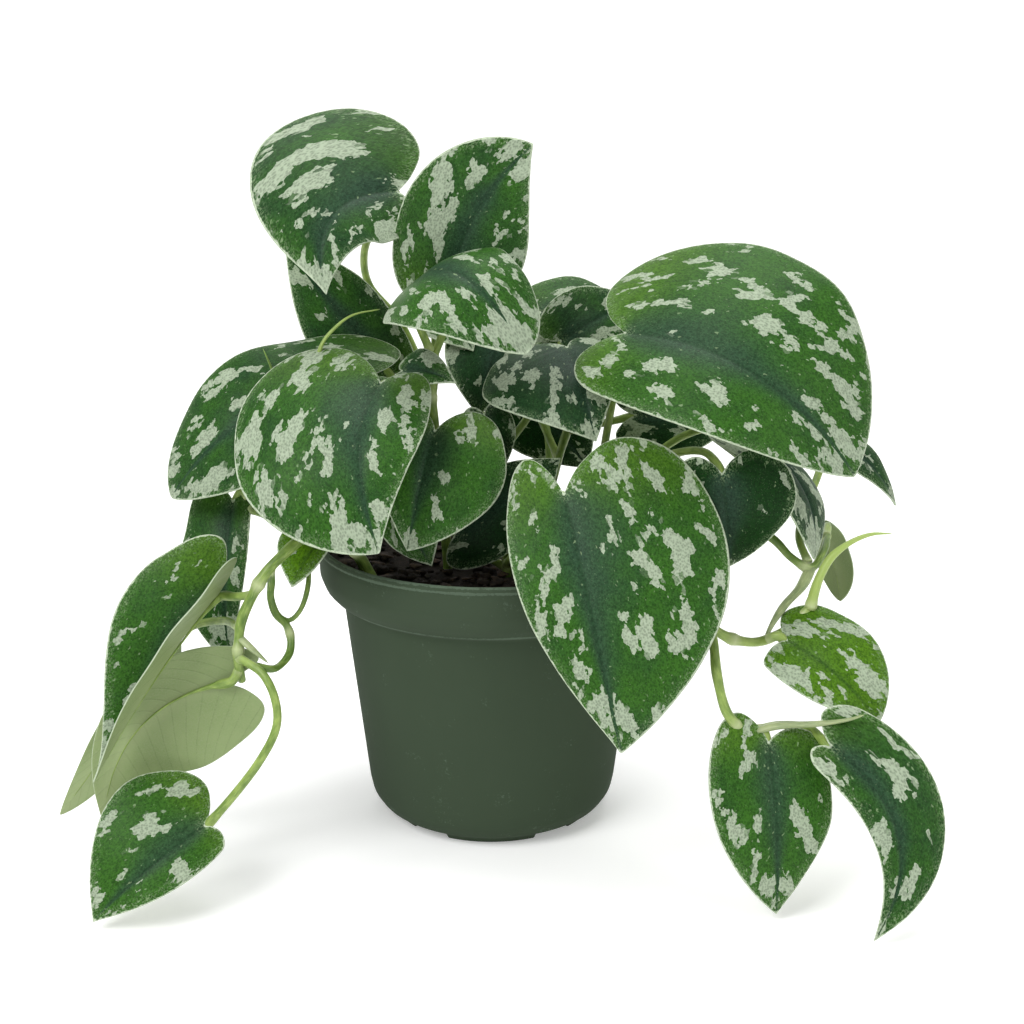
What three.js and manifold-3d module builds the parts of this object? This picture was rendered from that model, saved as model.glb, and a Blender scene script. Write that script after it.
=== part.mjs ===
// A satin pothos in a green nursery pot: heart-shaped silvery leaves on long stalks, and vines that trail
// over the rim. Millimetres, +Z up, the plant's front towards -Y. Points are measured from the centre of the
// pot's underside.
import * as THREE from "three";
import { ParametricGeometry } from "three/addons/geometries/ParametricGeometry.js";
import { mergeVertices } from "three/addons/utils/BufferGeometryUtils.js";
import Module from "manifold-3d";

const wasm = await Module();
wasm.setup();

// Pot: a tapered plastic shell with a wide rolled band at the rim, on a ring of five low feet.
const POT_HEIGHT = 127;
const RIM_RADIUS = 76.5;
const BAND_HEIGHT = 24;
const NECK_RADIUS = 66.2;
const HEEL_RADIUS = 56.2;
const HEEL_HEIGHT = 16;
const FOOT_RADIUS = 46;
const FOOT_WIDTH = 7;
const FOOT_HEIGHT = 3;
const FOOT_COUNT = 5;
const NOTCH_ANGLE = Math.PI / 7.5;
const FOOT_FLARE = 1.5;
const HEEL_BEND = 6;
const HEEL_FLARE = 1.3;
const BAND_BEND = 10;
const LIP_HEIGHT = 5;
const LIP_ROUNDING = 1;
const POT_WALL = 1.8;
const DRAIN_RADIUS = 5;
const DRAIN_CIRCLE = 30;
const POT_SIDES = 48;
const DRAIN_SIDES = 16;
const CUT_MARGIN = 4;

// Soil: fills the pot to a little under the rim, gently heaped in the middle.
const SOIL_DROP = 11;
const SOIL_HEAP = 3;
const SOIL_CLEARANCE = 0.3;
const PLANTING_DEPTH = 14;

// Stems and stalks.
const STALK_RADIUS = 1.7;
const STEM_SIDES = 6;
const STEP_LENGTH = 12;
const JOIN_GAP = 0.3;

// Blades.
const BLADE_THICKNESS = 0.9;
const RIBS = 8;
const STRIPS = 3;
const VEIN_START = 2.4;
const VEIN_SWEEP = 1.5;
const STALK_REACH = 0.07;

// Half of a blade's outline from the notch over the lobe to the tip, as shares of its length and half width.
const HALF_OUTLINE = new THREE.SplineCurve(
  [
    [0, 0],
    [-0.1, 0.15],
    [-0.17, 0.42],
    [-0.11, 0.72],
    [0.06, 0.94],
    [0.26, 1],
    [0.48, 0.9],
    [0.68, 0.65],
    [0.84, 0.35],
    [0.94, 0.13],
    [1, 0],
  ].map(([along, out]) => new THREE.Vector2(along, out)),
);

// Each leaf: where its stalk meets the blade, its tip, the way its upper face looks, and its half widths left
// and right of the midrib, seen from above with the tip away. Arch lifts the midrib off the line from base to
// tip and sweep bows it to the right, as shares of the length. Full and lobes give, left and right, how blunt
// the blade is towards the tip and how far its lobe reaches back past the stalk. Fold raises both halves from
// the midrib and curl bends them on to the margin, in radians. The stalk's points run from its vine to the
// blade.
const LEAVES = {
  top_left: {
    base: [-40, 17, 276], tip: [-68, -19, 236], face: [0.1, -0.8, 0.55], widths: [24, 52],
    arch: 0.1, sweep: 0.26, full: [1, 0.75], lobes: [0.3, 0.8], fold: 0.15, curl: -0.5,
    stalk: [
      [-31, 16, 154], [-31, 40, 188], [-42, 50, 214], [-56, 48, 232], [-57, 38, 248], [-49, 25, 264],
    ],
  },
  top_centre: {
    base: [-17, 2, 240], tip: [18, -10, 297], face: [0, -1, 0.1], widths: [30, 28],
    arch: 0.06, sweep: -0.08, full: [1.3, 1], fold: 0.15, curl: -0.4,
    stalk: [[-26, -6, 204], [-20, -1, 219], [-16, 3, 232]],
  },
  upper_middle: {
    base: [-29, -18, 243], tip: [15, -52, 217], face: [0.1, -0.75, 0.6], widths: [25, 30],
    arch: 0.36, full: [2, 1.3], lobes: [0.8, 0.5], fold: 0.1, curl: -0.7,
    stalk: [[-26, -7, 211], [-31, -14, 228]],
  },
  big_right: {
    base: [56, -24, 221], tip: [148, -54, 167], face: [0.1, -0.75, 0.6], widths: [64, 36],
    arch: 0.24, full: [1.5, 1.2], lobes: [1, 0.6], fold: 0.12, curl: -0.4,
    stalk: [[46, -2, 144], [51, -6, 180], [55, -14, 208]],
  },
  big_front: {
    base: [30, -62, 162], tip: [52, -100, 66], face: [0, -1, 0.3], widths: [60, 27],
    arch: 0.08, full: [1.15, 0.95], fold: 0.12, curl: -0.35,
    stalk: [[7, -27, 122], [10, -44, 132], [19, -60, 156]],
  },
  left_front: {
    base: [-45, -34, 202], tip: [-43, -78, 142], face: [-0.1, -0.8, 0.6], widths: [26, 56],
    arch: 0.2, sweep: 0.08, full: [1, 1.4], fold: 0.15, curl: -0.6,
    stalk: [[-23, -12, 165], [-36, -18, 190], [-42, -26, 200]],
  },
  left_back: {
    base: [-52, 5, 198], tip: [-138, -15, 148], face: [-0.2, -0.75, 0.6], widths: [34, 34],
    arch: 0.22, full: [1.3, 1.6], fold: 0.1, curl: -0.5,
    stalk: [[-32, 14, 164], [-46, 12, 188]],
  },
  centre_small: {
    base: [-23, -30, 181], tip: [-34, -55, 136], face: [0, -1, 0.4], widths: [34, 20],
    arch: 0.15, full: [1.2, 1], lobes: [1.4, 1], fold: 0.25, curl: -0.6,
    stalk: [[-21, -14, 146], [-20, -22, 170]],
  },
  tiny_centre: {
    base: [-38, -7, 202], tip: [-14, -24, 200], face: [0, -0.8, 0.6], widths: [11, 9],
    arch: 0.15, fold: 0.3, curl: -0.6,
    stalk: [[-25, -6, 184], [-36, -6, 194]],
  },
  silver_middle: {
    base: [33, 2, 211], tip: [44, -38, 178], face: [-0.1, -0.6, 0.7], widths: [18, 42],
    arch: 0.15, lobes: [1, 1.5], fold: 0.1, curl: -0.5,
    stalk: [[4, 0, 164], [17, 8, 180], [28, 10, 198]],
  },
  mid_back_right: {
    base: [31, 30, 209], tip: [67, 35, 227], face: [0, -0.8, 0.5], widths: [20, 20],
    arch: 0.1, fold: 0.1, curl: -0.4,
    stalk: [[36, 13, 180], [31, 24, 196]],
  },
  back_right: {
    base: [22, 50, 219], tip: [69, 60, 214], face: [0, -0.6, 0.8], widths: [24, 24],
    arch: 0.1, fold: 0.1, curl: -0.4,
    stalk: [[34, 14, 174], [22, 40, 206]],
  },
  back_left: {
    base: [-49, 36, 196], tip: [-92, 34, 250], face: [0.2, -1, 0.2], widths: [22, 19],
    arch: 0.1, full: [1, 1.3], fold: 0.1, curl: -0.4,
    stalk: [[-34, 14, 176], [-42, 32, 188]],
  },
  behind_middle: {
    base: [-28, 34, 228], tip: [-8, 20, 206], face: [0, -0.6, 0.8], widths: [16, 16],
    arch: 0.1, fold: 0.1, curl: -0.4,
    stalk: [[-31, 15, 164], [-26, 30, 190], [-26, 35, 214]],
  },
  dark_middle: {
    base: [4, 28, 213], tip: [-6, 14, 178], face: [0, -1, 0.3], widths: [14, 14],
    arch: 0.1, fold: 0.1, curl: -0.4,
    stalk: [[30, 17, 158], [10, 32, 200]],
  },
  dark_back: {
    base: [12, 48, 189], tip: [45, 43, 147], face: [0, -1, 0.2], widths: [26, 24],
    arch: 0.1, fold: 0.1, curl: -0.4,
    stalk: [[26, 18, 146], [25, 34, 168], [17, 44, 185]],
  },
  dark_right: {
    base: [64, 16, 178], tip: [112, 22, 176], face: [0, -1, 0.4], widths: [18, 20],
    arch: 0.1, fold: 0.1, curl: -0.4,
    stalk: [[35, 13, 172], [50, 18, 174]],
  },
  deep_heart: {
    base: [-3, 0, 182], tip: [4, -12, 157], face: [0, -1, 0.4], widths: [12, 12],
    arch: 0.1, fold: 0.1, curl: -0.4,
    stalk: [[3, 0, 158], [-3, 5, 174]],
  },
  low_middle: {
    base: [-15, -33, 137], tip: [30, -16, 166], face: [0, -1, 0.3], widths: [16, 20],
    arch: 0.1, fold: 0.1, curl: -0.4,
    stalk: [[6, -25, 120], [-6, -28, 128]],
  },
  low_left: {
    base: [-38, -42, 152], tip: [-24, -50, 128], face: [0.1, -1, -0.2], widths: [14, 12],
    arch: 0.1, fold: 0.1, curl: -0.4,
    stalk: [[-20, -17, 134], [-30, -32, 150]],
  },
  right_heart: {
    base: [94, -56, 169], tip: [100, -44, 126], face: [0, -1, 0.1], widths: [30, 24],
    arch: 0.1, fold: 0.1, curl: -0.4,
    stalk: [[57, -6, 157], [76, -26, 170], [89, -46, 175]],
  },
  right_silver: {
    base: [110, -16, 173], tip: [136, -41, 128], face: [0.8, -0.5, 0.5], widths: [18, 24],
    arch: 0.2, full: [1.2, 1.3], fold: 0.1, curl: -0.4,
    stalk: [[51, -5, 147], [84, 0, 172], [101, -12, 178]],
  },
  far_right: {
    base: [145, 25, 169], tip: [184, 20, 135], face: [0.6, -0.6, 0.6], widths: [12, 11],
    arch: 0.15, fold: 0.1, curl: -0.4,
    stalk: [[134, -38, 126], [132, -26, 134], [139, -8, 146], [146, 6, 158], [146, 18, 167]],
  },
  right_under: {
    base: [148, 5, 127], tip: [157, 0, 96], face: [0.5, 0.8, 0.2], widths: [8, 10],
    arch: 0.1, full: [1.5, 1.5], fold: 0.1, curl: -0.4,
    stalk: [[145, -20, 132], [148, -6, 133]],
  },
  lime_right: {
    base: [121, -68, 102], tip: [156, -88, 74], face: [0, -0.7, 0.7], widths: [25, 17],
    arch: 0.15, full: [1.4, 1.1], lobes: [1, 0.2], fold: 0.2, curl: -0.5,
    stalk: [[114, -64, 101], [118, -66, 103]],
  },
  low_right_a: {
    base: [111, -95, 69], tip: [114, -113, 3], face: [0.1, -1, 0.3], widths: [24, 26],
    arch: 0.1, full: [0.95, 1.1], lobes: [0.4, 1], fold: 0.15, curl: -0.4,
    stalk: [[106, -91, 71], [109, -91, 72]],
  },
  low_right_b: {
    base: [134, -102, 70], tip: [148, -134, 3], face: [0.2, -1, 0.3], widths: [23, 12],
    arch: 0.1, sweep: -0.22, lobes: [0.5, 0.3], fold: 0.15, curl: -0.4,
    stalk: [[107, -90, 72], [117, -83, 71], [128, -88, 72]],
  },
  trail_left_back: {
    base: [-112, -12, 146], tip: [-113, -30, 77], face: [-0.3, -1, 0.3], widths: [10, 23],
    arch: 0.1, full: [1, 1.2], lobes: [0.4, 0.5], fold: 0.2, curl: -0.5,
    stalk: [[-105, -13, 147], [-108, -11, 150]],
  },
  trail_left_mid: {
    base: [-111, -62, 120], tip: [-156, -104, 55], face: [-0.63, -0.54, 0.5], widths: [20, 31],
    arch: 0.02, sweep: 0.02, full: [0.9, 0.65], lobes: [1, 1.2], fold: 1, curl: -0.3,
    stalk: [[-95, -70, 122], [-103, -66, 120]],
  },
  trail_left_far: {
    base: [-141, -46, 85], tip: [-181, -68, 24], face: [0.5, 0.75, 0.2], widths: [10, 12],
    arch: 0.06, full: [1.3, 1.3], fold: 0.15, curl: -0.5,
    stalk: [[-101, -73, 109], [-112, -50, 104], [-128, -42, 98]],
  },
  trail_left_under: {
    base: [-109, -75, 86], tip: [-157, -90, 31], face: [0.3, 1, 0.3], widths: [18, 30],
    arch: 0.05, sweep: -0.18, lobes: [1, 1], fold: 0.1, curl: -0.4,
    stalk: [[-101, -76, 93], [-104, -78, 88]],
  },
  bottom_left: {
    base: [-113, -102, 36], tip: [-155, -121, 4], face: [-0.1, -1, 0.6], widths: [14, 34],
    arch: 0.12, lobes: [0.3, 1], fold: 0.15, curl: -0.4,
    stalk: [
      [-101, -78, 98], [-96, -82, 97], [-90, -86, 94], [-85, -91, 86], [-84, -95, 76], [-91, -99, 62],
    ],
  },
  lime_left: {
    base: [-71, -42, 137], tip: [-82, -54, 120], face: [-0.3, -1, 0.3], widths: [7, 15],
    arch: 0.1, full: [1.2, 1], fold: 0.4, curl: -0.4,
    stalk: [[-57, -41, 131], [-66, -42, 141]],
  },
};

// Each vine, sheath, sprout and aerial root: its radius and its route. One that grows out of the soil starts
// at root, and the others start at the piece they grow from, which is made before them.
const STEMS = {
  vine_middle: { radius: 2.1, root: [-18, -18], route: [[-21, -14, 150], [-25, -7, 186], [-26, -6, 213]] },
  vine_back_left: { radius: 2.1, root: [-26, 16], route: [[-30, 16, 150], [-34, 14, 178]] },
  vine_back_right: { radius: 2.1, root: [20, 18], route: [[28, 18, 150], [37, 12, 182]] },
  vine_heart: { radius: 2.1, root: [-2, 2], route: [[0, 2, 146], [5, 0, 166]] },
  vine_right: { radius: 2.1, root: [34, 0], route: [[44, -2, 138], [58, -6, 158]] },
  vine_front: { radius: 2.1, root: [6, -24], route: [[8, -28, 136]] },
  vine_left: {
    radius: 2.2,
    root: [-44, -32],
    route: [
      [-56, -41, 131], [-67, -49, 140], [-76, -58, 142], [-84, -66, 137], [-90, -70, 131], [-96, -71, 121],
      [-100, -73, 112], [-101, -76, 104], [-101, -78, 97], [-101, -72, 85],
    ],
  },
  vine_left_upper: {
    radius: 1.7,
    root: [-48, -18],
    route: [
      [-64, -28, 134], [-78, -38, 141], [-88, -34, 142], [-97, -24, 143], [-105, -14, 144], [-107, -10, 151],
      [-106, -10, 158],
    ],
  },
  vine_right_upper: {
    radius: 1.8,
    root: [52, -22],
    route: [
      [62, -28, 133], [76, -32, 148], [90, -31, 150], [107, -34, 143], [120, -36, 135], [127, -38, 128],
      [135, -40, 124], [141, -34, 129], [146, -18, 133],
    ],
  },
  vine_right_lower: {
    radius: 2.1,
    root: [44, -38],
    route: [
      [54, -48, 134], [66, -57, 137], [77, -64, 127], [85, -67, 113], [95, -67, 104], [104, -64, 100],
      [112, -61, 99], [122, -59, 103], [130, -58, 110], [132, -58, 114],
    ],
  },
  runner_right: {
    radius: 2,
    route: [[87, -67, 111], [90, -75, 105], [91, -85, 93], [95, -91, 79], [102, -91, 72], [108, -91, 71]],
  },
  sheath_right_upper: {
    radius: 2.2,
    route: [[135, -40, 124], [130, -47, 118], [122, -54, 112], [116, -61, 106], [113, -64, 101]],
  },
  sheath_right_lower: {
    radius: 2.2,
    route: [[106, -91, 72], [115, -93, 75], [129, -96, 77], [141, -99, 80], [147, -101, 83]],
  },
  sheath_left: { radius: 1.7, route: [[-101, -75, 106], [-96, -79, 103], [-88, -84, 98]] },
  sprout_right: {
    radius: 2,
    route: [
      [132, -58, 112], [135, -57, 124], [140, -55, 133], [148, -53, 139], [157, -51, 142], [166, -50, 142],
    ],
  },
  sprout_tall: {
    radius: 1.7,
    route: [
      [-24, -8, 178], [-48, -10, 182], [-68, -14, 194], [-73, -14, 206], [-71, -13, 215], [-66, -11, 221],
      [-59, -8, 226], [-47, -2, 228],
    ],
  },
  sprout_short: {
    radius: 1.5,
    route: [[-60, -13, 188], [-80, -14, 188], [-91, -10, 197], [-94, -9, 205], [-97, -8, 212]],
  },
  aerial_loop: {
    radius: 1.6,
    route: [
      [-88, -69, 133], [-89, -62, 125], [-90, -59, 117], [-88, -59, 110], [-84, -60, 106], [-82, -62, 101],
      [-82, -66, 96], [-85, -73, 93], [-88, -81, 94],
    ],
  },
  aerial_ring: {
    radius: 1.1,
    route: [
      [-78, -38, 141], [-76, -43, 130], [-76, -50, 118], [-79, -56, 110], [-83, -58, 107], [-88, -59, 110],
    ],
  },
};

const material = (color, roughness) => new THREE.MeshStandardMaterial({ color, roughness, metalness: 0 });
const POT_GREEN = material(0x3f5340, 0.55);
const SOIL_BROWN = material(0x1b1512, 0.95);
const LEAF_GREEN = material(0x3f6b3a, 0.5);
const LIME_GREEN = material(0x6f9a3c, 0.5);
const STEM_GREEN = material(0x7d9450, 0.55);

const mix = (a, b, share) => a + (b - a) * share;

// The plant is drawn for a pot of this size and follows a changed one. It goes outwards with the rim, and up
// or down with it, and what trails below the soil's level stretches or shrinks to keep off the ground.
const DRAWN_RADIUS = 76.5;
const DRAWN_NECK = 66.2;
const DRAWN_HEIGHT = 127;
const DRAWN_SOIL = 116;
const rise = POT_HEIGHT - DRAWN_HEIGHT;
const follow = ([x, y, z]) =>
  new THREE.Vector3(
    (x * RIM_RADIUS) / DRAWN_RADIUS,
    (y * RIM_RADIUS) / DRAWN_RADIUS,
    z + rise * Math.min(1, z / DRAWN_SOIL),
  );

// A closed geometry with its shared corners merged and its collapsed faces dropped, as a solid.
function solidOf(geometry) {
  const bare = geometry.clone().deleteAttribute("normal").deleteAttribute("uv");
  const merged = mergeVertices(bare, 1e-4);
  const kept = [];
  for (let i = 0; i < merged.index.count; i += 3) {
    const [a, b, c] = merged.index.array.slice(i, i + 3);
    if (a !== b && b !== c && c !== a) {
      kept.push(a, b, c);
    }
  }
  const mesh = new wasm.Mesh({
    numProp: 3,
    vertProperties: merged.attributes.position.array,
    triVerts: new Uint32Array(kept),
  });
  return new wasm.Manifold(mesh);
}

function geometryOf(solid) {
  const { vertProperties, triVerts } = solid.getMesh();
  return new THREE.BufferGeometry()
    .setAttribute("position", new THREE.BufferAttribute(vertProperties, 3))
    .setIndex(new THREE.BufferAttribute(triVerts, 1));
}

const largest = (solid) => solid.decompose().sort((a, b) => b.volume() - a.volume())[0];

// Turned pieces stand on the XY plane, so a lathe's own Y axis is stood up along Z.
function turned(profile) {
  const points = profile.map(([r, z]) => new THREE.Vector2(r, z));
  return solidOf(new THREE.LatheGeometry(points, POT_SIDES).rotateX(Math.PI / 2));
}

// Outer radius and height along the pot's side, from the foot up to the rim.
const bandFoot = POT_HEIGHT - BAND_HEIGHT;
const potSide = [
  [FOOT_RADIUS, 0],
  [FOOT_RADIUS + FOOT_FLARE, FOOT_HEIGHT],
  [mix(FOOT_RADIUS, HEEL_RADIUS, 0.55), mix(FOOT_HEIGHT, HEEL_HEIGHT, 0.15)],
  [HEEL_RADIUS - HEEL_FLARE, HEEL_HEIGHT - HEEL_BEND],
  [HEEL_RADIUS, HEEL_HEIGHT],
  [NECK_RADIUS, bandFoot - BAND_BEND / 5],
  [mix(NECK_RADIUS, RIM_RADIUS, 0.4), bandFoot],
  [mix(NECK_RADIUS, RIM_RADIUS, 0.76), bandFoot + 0.4 * BAND_BEND],
  [mix(NECK_RADIUS, RIM_RADIUS, 0.98), bandFoot + BAND_BEND],
  [RIM_RADIUS, POT_HEIGHT - LIP_HEIGHT],
  [RIM_RADIUS - LIP_ROUNDING, POT_HEIGHT],
];

// The same side from the inside, one wall in, from the rim down to the heel above the floor plate.
const heelBend = 3;
const potInside = potSide
  .slice(heelBend)
  .map(([r, z]) => [r - POT_WALL, z])
  .reverse();
const plateTop = FOOT_HEIGHT + POT_WALL;
const soilTop = POT_HEIGHT - SOIL_DROP;

function pot() {
  const footInner = FOOT_RADIUS - FOOT_WIDTH;
  const profile = [
    [0, FOOT_HEIGHT],
    [footInner, FOOT_HEIGHT],
    [footInner, 0],
    ...potSide,
    ...potInside,
    [FOOT_RADIUS, plateTop],
    [0, plateTop],
  ];
  let shell = turned(profile);
  const notchWidth = 2 * FOOT_RADIUS * Math.sin(NOTCH_ANGLE / 2);
  for (let i = 0; i < FOOT_COUNT; i++) {
    const angle = ((i + 0.5) * 2 * Math.PI) / FOOT_COUNT - Math.PI / 2;
    const notch = new THREE.BoxGeometry(FOOT_WIDTH + 2 * CUT_MARGIN, notchWidth, FOOT_HEIGHT * 2)
      .translate(FOOT_RADIUS - FOOT_WIDTH / 2, 0, 0)
      .rotateZ(angle);
    const drain = new THREE.CylinderGeometry(DRAIN_RADIUS, DRAIN_RADIUS, POT_WALL * 3, DRAIN_SIDES)
      .rotateX(Math.PI / 2)
      .translate(DRAIN_CIRCLE, 0, FOOT_HEIGHT + POT_WALL / 2)
      .rotateZ(angle);
    shell = shell.subtract(solidOf(notch)).subtract(solidOf(drain));
  }
  return shell;
}

// The soil's side follows the pot's inside up to its own top.
function soil() {
  const inside = potInside.map(([r, z]) => [r - SOIL_CLEARANCE, z]).reverse();
  const below = inside.filter(([, z]) => z < soilTop);
  const [lower, upper] = [below.at(-1), inside[below.length]];
  const edge = mix(lower[0], upper[0], (soilTop - lower[1]) / (upper[1] - lower[1]));
  return turned([
    [0, plateTop + SOIL_CLEARANCE],
    [FOOT_RADIUS - SOIL_CLEARANCE, plateTop + SOIL_CLEARANCE],
    ...below,
    [edge, soilTop],
    [edge * 0.6, soilTop + SOIL_HEAP * 0.7],
    [0, soilTop + SOIL_HEAP],
  ]);
}

// A round stem along a smooth curve through its points.
function stem(points, radius) {
  const route = new THREE.CatmullRomCurve3(points, false, "centripetal");
  const section = new THREE.Shape();
  for (let i = 0; i < STEM_SIDES; i++) {
    const angle = (i * 2 * Math.PI) / STEM_SIDES;
    section[i ? "lineTo" : "moveTo"](radius * Math.cos(angle), radius * Math.sin(angle));
  }
  section.closePath();
  const steps = Math.max(3, Math.round(route.getLength() / STEP_LENGTH));
  return solidOf(new THREE.ExtrudeGeometry(section, { steps, extrudePath: route }));
}

// The midrib's point and frame at a share of the blade's length.
function midrib({ base, tip, face, arch, sweep = 0 }) {
  const start = follow(base);
  const chord = follow(tip).sub(start);
  const length = chord.length();
  const ahead = chord.clone().normalize();
  const up = new THREE.Vector3(...face).projectOnPlane(ahead).normalize();
  const aside = ahead.clone().cross(up);
  const point = (u) =>
    start
      .clone()
      .addScaledVector(chord, u)
      .addScaledVector(up, length * arch * 4 * u * (1 - u))
      .addScaledVector(aside, length * sweep * 4 * u * (1 - u));
  const frame = (u) => {
    const along = point(u + 0.01).sub(point(u - 0.01)).normalize();
    const normal = up.clone().projectOnPlane(along).normalize();
    return { along, normal, right: along.clone().cross(normal) };
  };
  return { point, frame };
}

// A point of a blade: rib runs from the notch to the tip, out from the left margin at -1 to the right one at
// 1, and lift is the distance above the middle of its thickness.
function bladePoint(leaf, rib, out, lift) {
  const { point, frame } = midrib(leaf);
  const side = out < 0 ? -1 : 1;
  const share = Math.abs(out);
  const edge = HALF_OUTLINE.getPoint(rib);
  const half = out < 0 ? 0 : 1;
  const { widths, full = [1, 1], lobes = [1, 1] } = leaf;
  const margin = edge.x < 0 ? edge.x * lobes[half] : 1 - (1 - edge.x) ** full[half];
  const start = rib ** VEIN_START;
  const along = start + (margin - start) * share ** VEIN_SWEEP;
  const width = widths[half];
  const angle = leaf.fold + leaf.curl * share * edge.y;
  const across = (width * (Math.sin(angle) - Math.sin(leaf.fold))) / leaf.curl;
  const rise = (width * (Math.cos(leaf.fold) - Math.cos(angle))) / leaf.curl;
  const { normal, right } = frame(along);
  return point(along)
    .addScaledVector(right, side * (across - lift * Math.sin(angle)))
    .addScaledVector(normal, rise + lift * Math.cos(angle));
}

// A blade's skin goes over its upper face and back under it, thinning out to the margin, notch and tip. Both
// faces are split along the same diagonals, so that a curved blade keeps its thickness between its points.
function blade(leaf) {
  const surface = (u, v, target) => {
    const out = u < 0.5 ? 4 * u - 1 : 3 - 4 * u;
    const thickness = BLADE_THICKNESS * Math.sqrt(1 - out ** 4) * Math.min(1, 4 * Math.sqrt(v * (1 - v)));
    const lift = u < 0.5 ? thickness / 2 : -thickness / 2;
    target.copy(bladePoint(leaf, v, out, lift));
  };
  const around = STRIPS * 4;
  const faces = [];
  for (let rib = 0; rib < RIBS; rib++) {
    for (let strip = 0; strip < around; strip++) {
      const a = rib * (around + 1) + strip;
      const [b, c, d] = [a + 1, a + around + 2, a + around + 1];
      faces.push(...(strip < around / 2 ? [a, b, d, b, c, d] : [a, b, c, a, c, d]));
    }
  }
  return solidOf(new ParametricGeometry(surface, around, RIBS).setIndex(faces));
}

const plant = new THREE.Group();
function place(name, solid, look) {
  const mesh = new THREE.Mesh(geometryOf(solid), look);
  mesh.name = name;
  plant.add(mesh);
}

place("pot", pot(), POT_GREEN);

// Whatever is made later is cut back to a small gap from every stem made before it.
const sleeves = [];
const cutBack = (solid) => largest(sleeves.reduce((rest, sleeve) => rest.subtract(sleeve), solid));

let ground = soil();
for (const [name, { radius, root, route }] of Object.entries(STEMS)) {
  const points = route.map(follow);
  if (root) {
    const [x, y] = root.map((place) => (place * NECK_RADIUS) / DRAWN_NECK);
    points.unshift(new THREE.Vector3(x, y, soilTop - PLANTING_DEPTH));
  }
  const sleeve = stem(points, radius + JOIN_GAP);
  if (root) {
    ground = ground.subtract(sleeve);
  }
  place(name, cutBack(stem(points, radius)), STEM_GREEN);
  sleeves.push(sleeve);
}
place("soil", ground, SOIL_BROWN);

for (const [name, leaf] of Object.entries(LEAVES)) {
  const { point } = midrib(leaf);
  const points = [...leaf.stalk.map(follow), point(0), point(STALK_REACH)];
  const look = name.startsWith("lime") ? LIME_GREEN : LEAF_GREEN;
  place(`leaf_${name}`, cutBack(blade(leaf).add(stem(points, STALK_RADIUS))), look);
}

// The part's origin is under the middle of its outer box, on the ground.
const box = new THREE.Box3().setFromObject(plant);
const middle = box.getCenter(new THREE.Vector3());
plant.position.set(-middle.x, -middle.y, -box.min.z);

export default plant;
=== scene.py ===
"""A satin pothos in a green plastic nursery pot.

The pot is heaped with soil. Long stalks carry heart-shaped leaves that are splashed with silver,
and vines trail over the rim on both sides.
"""
import math
import random

import bpy
import numpy as np
from mathutils import Matrix, Vector, noise


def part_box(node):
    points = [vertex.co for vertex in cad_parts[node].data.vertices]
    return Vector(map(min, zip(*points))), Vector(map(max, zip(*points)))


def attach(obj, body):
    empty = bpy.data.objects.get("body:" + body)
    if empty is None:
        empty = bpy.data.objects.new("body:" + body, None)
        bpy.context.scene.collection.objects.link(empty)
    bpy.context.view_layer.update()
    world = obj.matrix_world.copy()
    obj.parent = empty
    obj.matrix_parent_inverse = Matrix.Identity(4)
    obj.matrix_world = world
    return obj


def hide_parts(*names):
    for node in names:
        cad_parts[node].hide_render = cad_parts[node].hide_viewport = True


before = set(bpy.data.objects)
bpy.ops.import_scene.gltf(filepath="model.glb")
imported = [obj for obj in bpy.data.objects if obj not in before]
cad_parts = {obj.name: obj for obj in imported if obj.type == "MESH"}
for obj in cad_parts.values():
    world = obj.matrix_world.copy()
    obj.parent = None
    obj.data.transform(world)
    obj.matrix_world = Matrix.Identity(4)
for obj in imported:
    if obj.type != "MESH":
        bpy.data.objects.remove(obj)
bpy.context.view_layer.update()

# --------------------------------------
# Pot. A moulded polypropylene nursery pot: a tapered wall, a wide band with a beaded lip at the
# rim, and a ring of five low feet under a floor with five drain holes. It comes out of one mould,
# so it is one turned shell. Lengths are in mm, and profiles run as (radius, height).
# --------------------------------------
MM = 0.001
pot_low, pot_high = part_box("pot")
POT_CENTRE = Vector(((pot_low.x + pot_high.x) / 2, (pot_low.y + pot_high.y) / 2, pot_low.z))
POT_HEIGHT = (pot_high.z - pot_low.z) / MM
POT_WALL = 1.8
BAND_FOOT = POT_HEIGHT - 24
FOOT_COUNT = 5
FOOT_HEIGHT = 3
FOOT_RING = (39, 46)
NOTCH_WIDTH = 19.1
NOTCH_OVERSHOOT = 8
DRAIN_RADIUS = 5
DRAIN_CIRCLE = 30
DRAIN_SIDES = 32
CORNER_CUT = 1.2
CORNER_SHARE = 0.4
POT_STEPS = 144
POT_CREASE = math.radians(32)
PLATE_TOP = FOOT_HEIGHT + POT_WALL
POT_OUTSIDE = [
    (0, FOOT_HEIGHT), (FOOT_RING[0], FOOT_HEIGHT), (FOOT_RING[0], 0), (FOOT_RING[1], 0),
    (FOOT_RING[1] + 1.5, FOOT_HEIGHT), (51.6, 5), (54.9, 10), (56.2, 16), (66.2, BAND_FOOT - 2),
    (70.2, BAND_FOOT), (73.9, BAND_FOOT + 4), (76.2, BAND_FOOT + 10), (76.3, POT_HEIGHT - 5),
    (75.9, POT_HEIGHT - 3.4), (76.5, POT_HEIGHT - 2.6), (76.3, POT_HEIGHT - 0.7),
    (75.2, POT_HEIGHT),
]
POT_INSIDE = [
    (73.9, POT_HEIGHT - 0.8), (74.3, POT_HEIGHT - 5), (74.2, BAND_FOOT + 10),
    (71.9, BAND_FOOT + 4), (68.2, BAND_FOOT), (64.4, BAND_FOOT - 2), (54.4, 16), (53.1, 10),
    (FOOT_RING[1], PLATE_TOP), (0, PLATE_TOP),
]
POT_GREEN = (0.034, 0.053, 0.03, 1)
POT_CLOUD = (0.04, 0.063, 0.035, 1)
POT_STREAK = (0.043, 0.06, 0.038, 1)
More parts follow.
